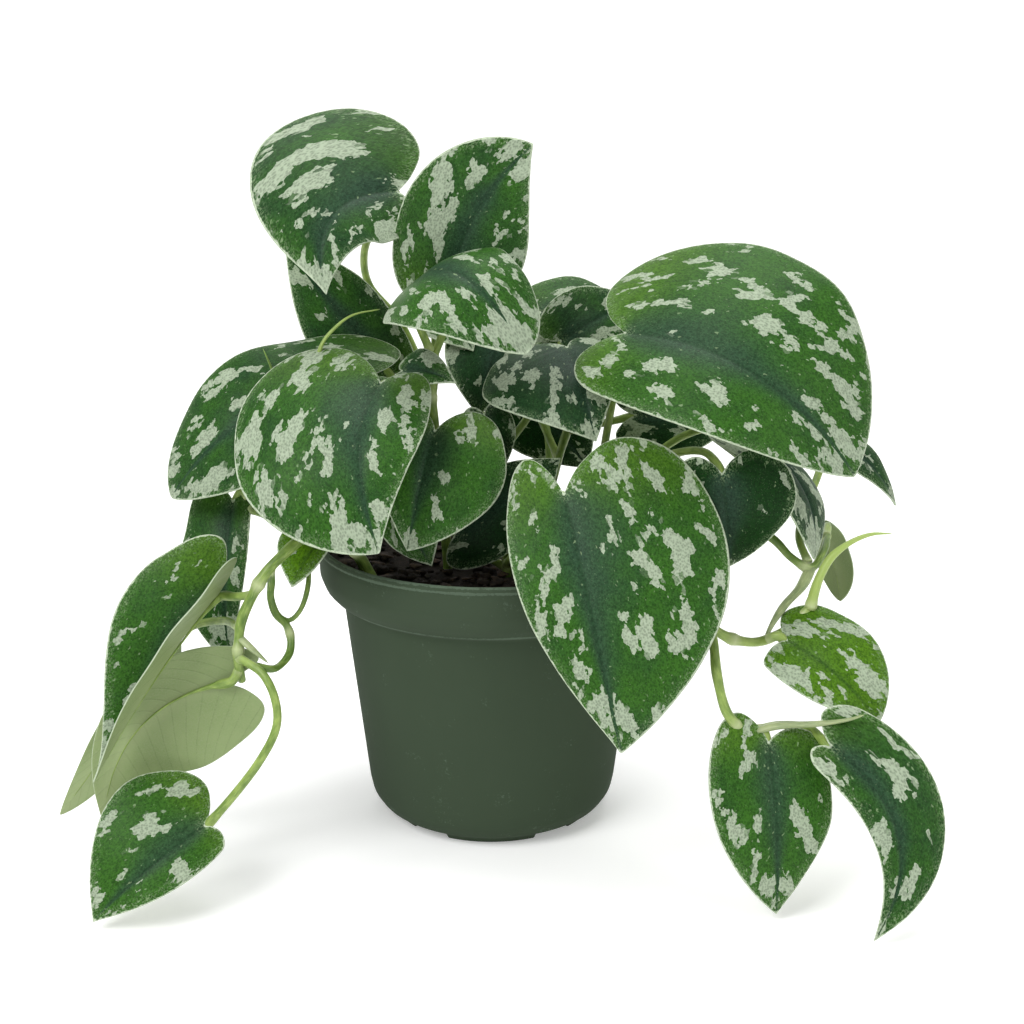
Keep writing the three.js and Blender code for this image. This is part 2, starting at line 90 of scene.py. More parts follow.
POT_SCUFF_AND_HIGHLIGHT = (0.12, 0.17, 0.12, 1)


def put(kind, inputs, **settings):
    """Adds a node to the tree of its inputs, which are values or sockets of other nodes."""
    sockets = [value for value in inputs.values() if isinstance(value, bpy.types.NodeSocket)]
    tree = sockets[0].id_data
    node = tree.nodes.new(kind)
    for key, value in settings.items():
        setattr(node, key, value)
    for socket, value in inputs.items():
        if isinstance(value, bpy.types.NodeSocket):
            tree.links.new(value, node.inputs[socket])
        else:
            node.inputs[socket].default_value = value
    return node


def maths(operation, a, b=0.0):
    return put("ShaderNodeMath", {0: a, 1: b}, operation=operation).outputs[0]


def plus(a, b):
    return maths("ADD", a, b)


def minus(a, b):
    return maths("SUBTRACT", a, b)


def times(a, b):
    return maths("MULTIPLY", a, b)


def window(value, low, high):
    """0 below low and 1 above high, or the other way round if high is the smaller."""
    inputs = {"Value": value, "From Min": low, "From Max": high}
    return put("ShaderNodeMapRange", inputs, interpolation_type="SMOOTHSTEP").outputs[0]


def mixed(factor, a, b):
    return put("ShaderNodeMix", {0: factor, 6: a, 7: b}, data_type="RGBA").outputs[2]


def stretched(vector, scale):
    inputs = {0: vector, 1: scale}
    return put("ShaderNodeVectorMath", inputs, operation="MULTIPLY").outputs[0]


def shape_place(tree):
    """The place in the part's frame, in metres."""
    return tree.nodes.new("ShaderNodeTexCoord").outputs["Object"]


def clouds(vector, scale, detail=2.0, roughness=0.5):
    inputs = {"Vector": vector, "Scale": scale, "Detail": detail, "Roughness": roughness}
    return put("ShaderNodeTexNoise", inputs).outputs[0]


def node_group(name, inputs, outputs):
    """An empty shader group with these sockets, its input node and its output node."""
    group = bpy.data.node_groups.new(name, "ShaderNodeTree")
    for label, kind in inputs:
        group.interface.new_socket(label, in_out="INPUT", socket_type=kind)
    for label, kind in outputs:
        group.interface.new_socket(label, in_out="OUTPUT", socket_type=kind)
    return group, group.nodes.new("NodeGroupInput"), group.nodes.new("NodeGroupOutput")


def finish_with(name, roughness=0.5, specular=0.5):
    """A material with one Principled BSDF: its tree and the shader node."""
    material = bpy.data.materials.new(name)
    material.use_nodes = True
    shader = material.node_tree.nodes["Principled BSDF"]
    shader.inputs["Roughness"].default_value = roughness
    shader.inputs["Specular IOR Level"].default_value = specular
    return material, material.node_tree, shader


def wire(shader, **sockets):
    """Links sockets to the shader's inputs, whose names are written with _ for each space."""
    for name, socket in sockets.items():
        socket.id_data.links.new(socket, shader.inputs[name.replace("_", " ")])


def wire_bump(shader, height, strength, distance):
    inputs = {"Height": height, "Strength": strength, "Distance": distance}
    wire(shader, Normal=put("ShaderNodeBump", inputs).outputs[0])


def alone():
    """Leaves edit mode with nothing selected, ready for the next primitive."""
    if bpy.context.mode != "OBJECT":
        bpy.ops.object.mode_set(mode="OBJECT")
    bpy.ops.object.select_all(action="DESELECT")


def apply_modifier(piece, kind, **settings):
    modifier = piece.modifiers.new(kind.lower(), kind)
    for key, value in settings.items():
        setattr(modifier, key, value)
    bpy.context.view_layer.objects.active = piece
    bpy.ops.object.modifier_apply(modifier=modifier.name)


def joined(piece, others):
    """Makes the others a part of the piece."""
    alone()
    for each in (*others, piece):
        each.select_set(True)
    bpy.context.view_layer.objects.active = piece
    bpy.ops.object.join()


def settle(piece, name, node):
    """Names a finished piece, puts it in the root body and hides the CAD node it stands for."""
    alone()
    piece.select_set(True)
    bpy.context.view_layer.objects.active = piece
    bpy.ops.object.transform_apply(location=True, rotation=True, scale=True)
    piece.name = name
    piece.data.name = name
    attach(piece, "root")
    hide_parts(node)


def softened(profile, reach):
    """A profile with each corner cut to a short curve that starts at most reach before it."""
    points = [Vector(p) for p in profile]
    curve = [points[0]]
    for before, corner, after in zip(points, points[1:], points[2:]):
        start = corner + (before - corner) * min(CORNER_SHARE, reach / (before - corner).length)
        end = corner + (after - corner) * min(CORNER_SHARE, reach / (after - corner).length)
        curve += [start, (start + end + 2 * corner) / 4, end]
    return curve + [points[-1]]


def weld(reach, closed=True):
    """Merges corners of the active piece within reach, and turns the faces of a closed one out."""
    bpy.ops.object.mode_set(mode="EDIT")
    bpy.ops.mesh.select_all(action="SELECT")
    bpy.ops.mesh.remove_doubles(threshold=reach)
    if closed:
        bpy.ops.mesh.normals_make_consistent(inside=False)
    bpy.ops.object.mode_set(mode="OBJECT")


def turned(profile, steps):
    """Extrudes one vertex along the profile and spins the line about the pot's axis."""
    alone()
    start = POT_CENTRE + Vector((profile[0].x, 0, profile[0].y)) * MM
    bpy.ops.mesh.primitive_plane_add(size=MM, location=start)
    bpy.ops.object.mode_set(mode="EDIT")
    bpy.ops.mesh.merge(type="CENTER")
    for a, b in zip(profile, profile[1:]):
        step = Vector((b.x - a.x, 0, b.y - a.y)) * MM
        bpy.ops.mesh.extrude_region_move(TRANSFORM_OT_translate={"value": step})
    bpy.ops.mesh.select_all(action="SELECT")
    bpy.ops.mesh.spin(steps=steps, angle=2 * math.pi, center=POT_CENTRE, axis=(0, 0, 1))
    weld(MM / 50)
    return bpy.context.object


def cut(piece, cutter):
    apply_modifier(piece, "BOOLEAN", object=cutter, operation="DIFFERENCE", solver="EXACT")
    bpy.data.objects.remove(cutter)


pot = turned(softened(POT_OUTSIDE + POT_INSIDE, CORNER_CUT), POT_STEPS)
for i in range(FOOT_COUNT):
    angle = (i + 0.5) * 2 * math.pi / FOOT_COUNT - math.pi / 2
    outwards = Vector((math.cos(angle), math.sin(angle), 0))
    alone()
    middle = POT_CENTRE + outwards * sum(FOOT_RING) / 2 * MM
    bpy.ops.mesh.primitive_cube_add(size=MM, location=middle, rotation=(0, 0, angle))
    notch = bpy.context.object
    notch.scale = (FOOT_RING[1] - FOOT_RING[0] + NOTCH_OVERSHOOT, NOTCH_WIDTH, 2 * FOOT_HEIGHT)
    cut(pot, notch)
    alone()
    bpy.ops.mesh.primitive_cylinder_add(
        vertices=DRAIN_SIDES, radius=DRAIN_RADIUS * MM, depth=4 * POT_WALL * MM,
        location=POT_CENTRE + (outwards * DRAIN_CIRCLE + Vector((0, 0, PLATE_TOP))) * MM,
    )
    cut(pot, bpy.context.object)

# Scattered pale flecks of dust and scuffing, thicker where Amount is higher. On the pot, Amount is
# raised along its edges, so the flecks there are painted highlight.
scuffs_and_highlights, group_in, group_out = node_group(
    "scuffs_and_highlights",
    [("Vector", "NodeSocketVector"), ("Amount", "NodeSocketFloat")],
    [("Mask", "NodeSocketFloat")],
)
patches = clouds(group_in.outputs["Vector"], 60, 5, 0.65)
flecks = clouds(group_in.outputs["Vector"], 900, 3, 0.6)
both = plus(times(patches, 0.6), times(flecks, 0.4))
lifted = plus(both, times(group_in.outputs["Amount"], 0.2))
scuffs_and_highlights.links.new(window(lifted, 0.58, 0.7), group_out.inputs["Mask"])

# Pot plastic: cloudy dull green, pale scuffs and dust, painted highlight lines along the lip and
# the foot of the band, and glossier on the band.
EDGE_HIGHLIGHT_LEVELS = (BAND_FOOT, POT_HEIGHT - 2.8, POT_HEIGHT - 0.3)
plastic, tree, shader = finish_with("pot_plastic", specular=0.26)
place = shape_place(tree)
height = put("ShaderNodeSeparateXYZ", {0: place}).outputs["Z"]
# Painted highlight: a thin line at each edge level, which thickens the pale scuffs there.
edges = 0.0
for level in EDGE_HIGHLIGHT_LEVELS:
    off = maths("ABSOLUTE", minus(height, level * MM))
    edges = maths("MAXIMUM", edges, window(off, 1.1 * MM, 0.2 * MM))
inputs = {"Vector": place, "Amount": edges}
scuffs_and_edge_highlights = put("ShaderNodeGroup", inputs, node_tree=scuffs_and_highlights).outputs["Mask"]
cloudy = clouds(place, 14, 3)
body = mixed(cloudy, POT_GREEN, POT_CLOUD)
upright = clouds(stretched(place, (1, 1, 0.08)), 160, 2)
body = mixed(times(upright, 0.3), body, POT_STREAK)
# The pale colour is both real scuffing and dust, and the painted highlight lines along the edges.
colour = mixed(times(scuffs_and_edge_highlights, 0.45), body, POT_SCUFF_AND_HIGHLIGHT)
wire(shader, Base_Color=colour)
band_gloss = window(height, BAND_FOOT * MM, (BAND_FOOT + 3) * MM)
rough = minus(times(cloudy, 0.12), times(band_gloss, 0.1))
wire(shader, Roughness=plus(rough, 0.97))
wire_bump(shader, clouds(place, 2600, 2), 0.25, 0.15 * MM)
pot.data.materials.append(plastic)
settle(pot, "nursery_pot", "pot")
bpy.ops.object.shade_smooth_by_angle(angle=POT_CREASE)

# --------------------------------------
# Soil. A damp peat mix, heaped a little in the middle and pressed down by watering, with bark
# chips, peat crumbs and short fibres lying on it. It fills the pot, and the chips are part of it.
# --------------------------------------
SOIL_TOP = 116
SOIL_HEAP = 2.4
SOIL_SINK = 0.7
SOIL_LUMPS = 1.3
SOIL_GRAINS = 0.5
SOIL_RADIUS = 73.7
SOIL_RINGS = 34
SOIL_STEPS = 120
SOIL_CREASE = math.radians(50)
SOIL_SEED = 11
# What lies on the soil: how many, the range of sizes in mm, and how flat and long each is.
CRUMBS = (520, (0.6, 2.6), 0.7, 1.2)
BARK_CHIPS = (173, (0.9, 2.8), 0.35, 1.7)
FIBRES = (60, (0.35, 0.6), 0.8, 9)
LITTER_MARGIN = 4
LITTER_TILT = 0.35
LITTER_LUMPS = 0.35
LITTER_RAISED = 0.25
PEAT_DARK = (0.006, 0.0045, 0.003, 1)
PEAT_LIGHT = (0.035, 0.022, 0.013, 1)
PEAT_DAMP = (0.014, 0.009, 0.006, 1)
BARK_DARK = (0.02, 0.012, 0.007, 1)
BARK_LIGHT = (0.075, 0.045, 0.026, 1)
BARK_GRAIN = (0.028, 0.017, 0.01, 1)
random.seed(SOIL_SEED)


def soil_height(x, y):
    """Height of the soil in mm at a place measured from the pot's axis."""
    share = min(1, math.hypot(x, y) / SOIL_RADIUS)
    lumps = SOIL_LUMPS * noise.fractal(Vector((x, y, 3)) * 0.09, 0.8, 2.2, 4)
    grains = SOIL_GRAINS * noise.fractal(Vector((x, y, 9)) * 0.5, 0.6, 2.1, 3)
    level = SOIL_TOP + SOIL_HEAP * (1 - share * share) - SOIL_SINK
    return level + (lumps + grains) * (1 - share**6)


soil_side = [
    (0, PLATE_TOP + 0.3), (FOOT_RING[1] - 0.3, PLATE_TOP + 0.3), (52.8, 10), (54.1, 16),
    (64.1, BAND_FOOT - 2), (67.9, BAND_FOOT), (71.6, BAND_FOOT + 4), (SOIL_RADIUS, BAND_FOOT + 10),
]
soil_top = [(SOIL_RADIUS * (1 - i / SOIL_RINGS), SOIL_TOP) for i in range(SOIL_RINGS + 1)]
soil = turned([Vector(p) for p in soil_side + soil_top], SOIL_STEPS)
for vertex in soil.data.vertices:
    x, y, z = (vertex.co - POT_CENTRE) / MM
    if z > SOIL_TOP - 1:
        vertex.co.z = POT_CENTRE.z + soil_height(x, y) * MM

earth, tree, shader = finish_with("peat_mix", roughness=0.92, specular=0.25)
place = shape_place(tree)
fine = clouds(place, 700, 5, 0.7)
damp = clouds(place, 60, 3)
colour = mixed(window(fine, 0.35, 0.7), PEAT_DARK, PEAT_LIGHT)
colour = mixed(window(damp, 0.45, 0.7), colour, PEAT_DAMP)
wire(shader, Base_Color=colour)
wire_bump(shader, clouds(place, 1300, 6, 0.75), 1.0, 1.2 * MM)

bark, tree, shader = finish_with("bark_chip", roughness=0.85, specular=0.3)
place = shape_place(tree)
chip = put("ShaderNodeTexVoronoi", {"Vector": place, "Scale": 240.0}).outputs["Color"]
chip_tone = put("ShaderNodeSeparateColor", {0: chip}).outputs[0]
colour = mixed(chip_tone, BARK_DARK, BARK_LIGHT)
lines = clouds(stretched(place, (1, 0.2, 1)), 2500, 3)
colour = mixed(window(lines, 0.4, 0.65), colour, BARK_GRAIN)
wire(shader, Base_Color=colour)
wire_bump(shader, lines, 0.7, 0.4 * MM)
for finish in (earth, bark):
    soil.data.materials.append(finish)


def scatter(count, size, flatness, length, material_index):
    """Copies of one lumpy pebble over the soil, each turned, stretched and squashed by a draw."""
    alone()
    bpy.ops.mesh.primitive_ico_sphere_add(subdivisions=2, radius=1)
    lump = bpy.context.object
    for corner in lump.data.vertices:
        corner.co *= 1 + LITTER_LUMPS * noise.noise(corner.co * 1.7)
    for finish in (earth, bark):
        lump.data.materials.append(finish)
    for polygon in lump.data.polygons:
        polygon.material_index = material_index
    copies = []
    for _ in range(count):
        distance = (SOIL_RADIUS - LITTER_MARGIN) * math.sqrt(random.random())
        bearing = random.uniform(0, 2 * math.pi)
        x, y = distance * math.cos(bearing), distance * math.sin(bearing)
        scale = random.uniform(*size) * MM
        copy = bpy.data.objects.new("chip", lump.data.copy())
        turn = Matrix.Rotation(random.uniform(0, 2 * math.pi), 4, "Z")
        tilt = Matrix.Rotation(random.uniform(-LITTER_TILT, LITTER_TILT), 4, "X")
        shape = Matrix.Diagonal((length * scale, scale, flatness * scale, 1))
        level = soil_height(x, y) + LITTER_RAISED * scale / MM
        spot = POT_CENTRE + Vector((x, y, level)) * MM
        copy.data.transform(Matrix.Translation(spot) @ turn @ tilt @ shape)
        bpy.context.scene.collection.objects.link(copy)
        copies.append(copy)
    bpy.data.objects.remove(lump)
    return copies


litter = scatter(*CRUMBS, 0) + scatter(*BARK_CHIPS, 1) + scatter(*FIBRES, 1)
joined(soil, litter)
bpy.ops.object.shade_smooth_by_angle(angle=SOIL_CREASE)
settle(soil, "potting_soil", "soil")

# --------------------------------------
# Stems. Fleshy yellow-green vines with pale ringed nodes, the dry sheaths that wrapped old leaves,
# rolled new leaves and aerial roots. Each one grows as a single round piece, a little swollen
# where a leaf or root leaves it.
# --------------------------------------
PLANTING_DEPTH = 14
ROUTE_STEP = 1.6
NODE_SWELL = 0.3
NODE_REACH = 2.2
TAPER_START = 1.15
STEM_WAVE = 0.05
STEM_WAVE_RATE = 0.35
END_ROUNDING = 0.8
STEM_DEFAULTS = dict(nodes=(), tone=0.4)
PLAIN_TAPER = (0.8, 1.0)
# Flesh colours: deep, light and ringed.
STEM_COLOURS = ((0.085, 0.165, 0.022, 1), (0.33, 0.44, 0.11, 1), (0.5, 0.56, 0.3, 1))
SHEATH_COLOURS = ((0.2, 0.26, 0.12, 1), (0.42, 0.48, 0.24, 1), (0.3, 0.26, 0.14, 1))
# For each stem: its radius, where it is rooted, the shares of its length at which it has ringed
# nodes, its colour from deep 0 to light 1, for a tapered one how narrow it ends and how flat it is
# across, and the points it passes. Places are in mm from the pot's centre.
STEMS = {
    "vine_middle": dict(
        radius=2.1, root=(-18, -18), nodes=(0.32, 0.62, 0.8),
        route=[(-21, -14, 150), (-25, -7, 186), (-26, -6, 213)]),
    "vine_back_left": dict(
        radius=2.1, root=(-26, 16), nodes=(0.5, 0.85), route=[(-30, 16, 150), (-34, 14, 178)]),
    "vine_back_right": dict(
        radius=2.1, root=(20, 18), nodes=(0.45, 0.9), route=[(28, 18, 150), (37, 12, 182)]),
    "vine_heart": dict(
        radius=2.1, root=(-2, 2), nodes=(0.7,), route=[(0, 2, 146), (5, 0, 166)]),
    "vine_right": dict(
        radius=2.1, root=(34, 0), nodes=(0.6, 0.85), route=[(44, -2, 138), (58, -6, 158)]),
    "vine_front": dict(
        radius=2.1, root=(6, -24), nodes=(0.6,), route=[(8, -28, 136)]),
    "vine_left": dict(
        radius=2.2, root=(-44, -32), nodes=(0.25, 0.66, 0.87), tone=0.42,
        route=[
            (-56, -41, 131), (-67, -49, 140), (-76, -58, 142), (-84, -66, 137), (-90, -70, 131),
            (-96, -71, 121), (-100, -73, 112), (-101, -76, 104), (-101, -78, 97), (-101, -72, 85),
        ]),
    "vine_left_upper": dict(
        radius=1.7, root=(-48, -18), nodes=(0.45, 0.83), tone=0.3,
        route=[
            (-64, -28, 134), (-78, -38, 141), (-88, -34, 142), (-97, -24, 143), (-105, -14, 144),
            (-107, -10, 151), (-106, -10, 158),
        ]),
    "vine_right_upper": dict(
        radius=1.8, root=(52, -22), nodes=(0.32, 0.8), tone=0.28,
        route=[
            (62, -28, 133), (76, -32, 148), (90, -31, 150), (107, -34, 143), (120, -36, 135),
            (127, -38, 128), (135, -40, 124), (141, -34, 129), (146, -18, 133),
        ]),
    "vine_right_lower": dict(
        radius=2.1, root=(44, -38), nodes=(0.4, 0.72, 0.96), tone=0.62,
        route=[
            (54, -48, 134), (66, -57, 137), (77, -64, 127), (85, -67, 113), (95, -67, 104),
            (104, -64, 100), (112, -61, 99), (122, -59, 103), (130, -58, 110), (132, -58, 114),
        ]),
    "runner_right": dict(
        radius=2, nodes=(0.06, 0.82), tone=0.5,
        route=[
            (87, -67, 111), (90, -75, 105), (91, -85, 93), (95, -91, 79), (102, -91, 72),
            (108, -91, 71),
        ]),
    "sheath_right_upper": dict(
        radius=2.2, taper=(0.35, 0.62),
        route=[
            (135, -40, 124), (130, -47, 118), (122, -54, 112), (116, -61, 106), (113, -64, 101),
        ]),
    "sheath_right_lower": dict(
        radius=2.2, taper=(0.3, 0.55),
        route=[(106, -91, 72), (115, -93, 75), (129, -96, 77), (141, -99, 80), (147, -101, 83)]),
    "sheath_left": dict(
        radius=1.7, taper=(0.2, 0.6), route=[(-101, -75, 106), (-96, -79, 103), (-88, -84, 98)]),
    "sprout_right": dict(
        radius=2, nodes=(0.03,), tone=0.9, taper=(0.12, 0.85),
        route=[
            (132, -58, 112), (135, -57, 124), (140, -55, 133), (148, -53, 139), (157, -51, 142),
            (166, -50, 142),
        ]),
    "sprout_tall": dict(
        radius=1.7, nodes=(0.04,), tone=0.6, taper=(0.15, 0.8),
        route=[
            (-24, -8, 178), (-48, -10, 182), (-68, -14, 194), (-73, -14, 206), (-71, -13, 215),
            (-66, -11, 221), (-59, -8, 226), (-47, -2, 228),
        ]),
    "sprout_short": dict(
        radius=1.5, taper=(0.15, 0.75),
        route=[(-60, -13, 188), (-80, -14, 188), (-91, -10, 197), (-94, -9, 205), (-97, -8, 212)]),
    "aerial_loop": dict(
        radius=1.6, nodes=(0.02, 0.5), tone=0.25,
        route=[
            (-88, -69, 133), (-89, -62, 125), (-90, -59, 117), (-88, -59, 110), (-84, -60, 106),
            (-82, -62, 101), (-82, -66, 96), (-85, -73, 93), (-88, -80, 94), (-94, -81, 96),
            (-99, -79, 97),
        ]),
    "aerial_ring": dict(
        radius=1.1, tone=0.3,
        route=[
            (-78, -38, 141), (-76, -43, 130), (-76, -50, 118), (-79, -56, 110), (-83, -58, 107),
            (-88, -59, 110),
        ]),
}


def curve_point(p1, p2, leave, arrive, t):
    """The point at t from p1 to p2 on a curve that leaves and arrives in these directions."""
    cubic = 2 * p1 - 2 * p2 + leave + arrive
    square = 3 * p2 - 3 * p1 - 2 * leave - arrive
    return cubic * t**3 + square * t * t + leave * t + p1


def smooth_route(points, step):
    """Points every step or so along a centripetal curve through the given ones, all in mm."""
    points = [Vector(p) for p in points]
    ends = [2 * points[0] - points[1], *points, 2 * points[-1] - points[-2]]
    route = []
    for p0, p1, p2, p3 in zip(ends, ends[1:], ends[2:], ends[3:]):
        d0, d1, d2 = ((b - a).length ** 0.5 for a, b in ((p0, p1), (p1, p2), (p2, p3)))
        leave = ((p1 - p0) / d0 - (p2 - p0) / (d0 + d1) + (p2 - p1) / d1) * d1
        arrive = ((p2 - p1) / d1 - (p3 - p1) / (d1 + d2) + (p3 - p2) / d2) * d1
        count = max(2, round((p2 - p1).length / step))
        for i in range(count):
            t = i / count
            route.append(curve_point(p1, p2, leave, arrive, t))
    return route + [points[-1]]


def lengths_along(route):
    """Distance from the start to each point of a route."""
    gaps = [(b - a).length for a, b in zip(route, route[1:])]
    return np.concatenate([[0], np.cumsum(gaps)])


def move_to(piece, places):
    """Puts the corners of a piece at places in mm from the pot's centre."""
    corners = (np.array(POT_CENTRE) + places * MM).astype(np.float32)
    piece.data.vertices.foreach_set("co", corners.ravel())


def store(mesh, name, values):
    """Keeps one number, or one vector, for each corner of the mesh, for its material to read."""
    values = np.asarray(values, np.float32)
    kind, field = ("FLOAT", "value") if values.ndim == 1 else ("FLOAT_VECTOR", "vector")
    mesh.attributes.new(name, kind, "POINT").data.foreach_set(field, values.ravel())


def swept(route, radii, rings=(), tone=0.5, flat=1.0):
    """A round stem along a route in mm, with a radius at each point: a bevelled curve, meshed."""
    alone()
    bpy.ops.curve.primitive_nurbs_path_add()
    path = bpy.context.object
    path.data.splines.clear()
    spline = path.data.splines.new("POLY")
    spline.points.add(len(route) - 1)
    for point, place, radius in zip(spline.points, route, radii):
        point.co = (*(POT_CENTRE + place * MM), 1)
        point.radius = radius
    path.data.twist_mode = "MINIMUM"
    path.data.bevel_depth = MM
    path.data.bevel_resolution = 5
    path.data.use_fill_caps = True
    bpy.ops.object.convert(target="MESH")
    piece = bpy.context.object
    weld(MM / 100)
    at = np.array([(v.co - POT_CENTRE) / MM for v in piece.data.vertices])
    centre = np.array(route)
    nearest = ((at[:, None] - centre[None]) ** 2).sum(2).argmin(1)
    along = lengths_along(route)
    ahead = np.gradient(centre, axis=0)
    ahead /= np.linalg.norm(ahead, axis=1)[:, None]
    level = np.cross(ahead, (0, 0, 1)) + (1e-6, 0, 0)
    level /= np.linalg.norm(level, axis=1)[:, None]
    off = at - centre[nearest]
    side = (off * level[nearest]).sum(1)
    rise = (off * np.cross(level, ahead)[nearest]).sum(1)
    if flat < 1:
        at -= np.cross(level, ahead)[nearest] * (rise * (1 - flat))[:, None]
        move_to(piece, at)
    ring = np.zeros(len(at))
    for share in rings:
        ring = np.maximum(ring, np.exp(-(((along[nearest] - share * along[-1]) / NODE_REACH) ** 2)))
    around = np.arctan2(rise, side)
    grain = [np.cos(around) * 2, along[nearest] * 0.12, np.sin(around) * 2]
    store(piece.data, "grain", np.stack(grain, 1))
    store(piece.data, "ring", ring)
    store(piece.data, "tone", np.full(len(at), tone))
    bpy.ops.object.shade_smooth()
    return piece


# Waxy skin of leaves and stems: fine cells with a soft drift over them.
skin, group_in, group_out = node_group(
    "waxy_skin",
    [("Vector", "NodeSocketVector"), ("Cells", "NodeSocketFloat")],
    [("Height", "NodeSocketFloat")],
)
cells = clouds(group_in.outputs["Vector"], 2.4, 2, 0.6)
drift = clouds(group_in.outputs["Vector"], 0.3, 2)
cells = times(cells, group_in.outputs["Cells"])
skin.links.new(plus(cells, drift), group_out.inputs["Height"])


def reads(tree, name):
    """The sockets of what store() kept under this name."""
    node = tree.nodes.new("ShaderNodeAttribute")
    node.attribute_name = name
    return node.outputs


def waxy_height(grain, cells):
    inputs = {"Vector": grain, "Cells": cells}
    return put("ShaderNodeGroup", inputs, node_tree=skin).outputs["Height"]


def stem_finish(name, deep, light, ring_colour):
    """Streaked flesh that goes from deep to light with the piece's tone, and pales at each node."""
    material, tree, shader = finish_with(name, roughness=0.42, specular=0.45)
    grain = reads(tree, "grain")["Vector"]
    streaks = clouds(grain, 1.6, 3, 0.6)
    drift = clouds(stretched(grain, (0.3, 1.4, 0.3)), 1.1, 3)
    share = plus(reads(tree, "tone")["Fac"], minus(drift, 0.5))
    flesh = mixed(window(share, 0.1, 0.9), deep, light)
    pale = tuple(min(1, 1.5 * c) for c in light[:3]) + (1,)
    flesh = mixed(times(window(streaks, 0.5, 0.75), 0.35), flesh, pale)
    flesh = mixed(times(reads(tree, "ring")["Fac"], 0.75), flesh, ring_colour)
    lenticels = put("ShaderNodeTexVoronoi", {"Vector": grain, "Scale": 0.9}).outputs["Distance"]
    flesh = mixed(times(window(lenticels, 0.16, 0.08), 0.3), flesh, pale)
    wire(shader, Base_Color=flesh)
    shader.inputs["Subsurface Weight"].default_value = 0.12
    shader.inputs["Subsurface Radius"].default_value = (0.6, 1.0, 0.3)
    shader.inputs["Subsurface Scale"].default_value = 2 * MM
    waxy = waxy_height(grain, 0.5)
    wire_bump(shader, plus(waxy, streaks), 0.35, 0.25 * MM)
    return material


stem_flesh = stem_finish("stem_flesh", *STEM_COLOURS)
sheath_skin = stem_finish("sheath_skin", *SHEATH_COLOURS)

for name, stem in STEMS.items():
    stem = STEM_DEFAULTS | stem
    points = stem["route"]
    if "root" in stem:
        points = [(*stem["root"], SOIL_TOP - PLANTING_DEPTH), *points]
    route = smooth_route(points, ROUTE_STEP)
    along = lengths_along(route)
    shares = along / along[-1]
    radii = np.full(len(route), stem["radius"], float)
    for node in stem["nodes"]:
        radii *= 1 + NODE_SWELL * np.exp(-(((shares - node) * along[-1] / NODE_REACH) ** 2))
    radii *= 1 + STEM_WAVE * np.sin(along * STEM_WAVE_RATE + len(name))
    end_width, flat = stem.get("taper", PLAIN_TAPER)
    if "taper" in stem:
        radii *= TAPER_START - (TAPER_START - end_width) * shares**1.8
    else:
        radii *= 1 - (1 - end_width) * shares**6
    to_end = (along[-1] - along) / (stem["radius"] * END_ROUNDING)
    radii *= np.sqrt(np.clip(to_end, 0.02, 1))
    piece = swept(route, radii, stem["nodes"], stem["tone"], flat)
    piece.data.materials.append(sheath_skin if name.startswith("sheath") else stem_flesh)
    settle(piece, "grown_" + name, name)

# --------------------------------------
# Leaves. Heart-shaped blades of thick satiny flesh, each grown as one piece with its stalk, whose
# midrib stands out below and lies in a groove above. Upper faces are splashed with silver, and the
# undersides are pale sage.
# --------------------------------------
STALK_RADIUS = 1.7
BLADE_THICKNESS = 0.75
ACROSS = 36
RIBS = 40
VEIN_START = 2.4
VEIN_SWEEP = 1.5
SIDE_VEINS = 11
VEIN_SLANT = 0.3
SPLASH_SLANT = math.radians(28)
QUILTING = 0.0035
GROOVE_DEPTH = 0.35
GROOVE_WIDTH = 1.3
MARGIN_WAVE = 0.03
MARGIN_RIPPLE = 0.011
JOINT_SWELL = 0.22
FOOT_SWELL = 0.25
MIDRIB_SUNK = 0.3
MIDRIB_SHARES = (0.0, 0.04, 0.1, 0.18, 0.3, 0.45, 0.6, 0.75, 0.88)
HALF_OUTLINE = np.array([
    (0, 0), (-0.1, 0.15), (-0.17, 0.42), (-0.11, 0.72), (0.06, 0.94), (0.26, 1), (0.48, 0.9),
    (0.68, 0.65), (0.84, 0.35), (0.94, 0.13), (1, 0),
])
LEAF_DEFAULTS = dict(arch=0.1, sweep=0, full=(1, 1), lobes=(1, 1), fold=0.1, curl=-0.4)
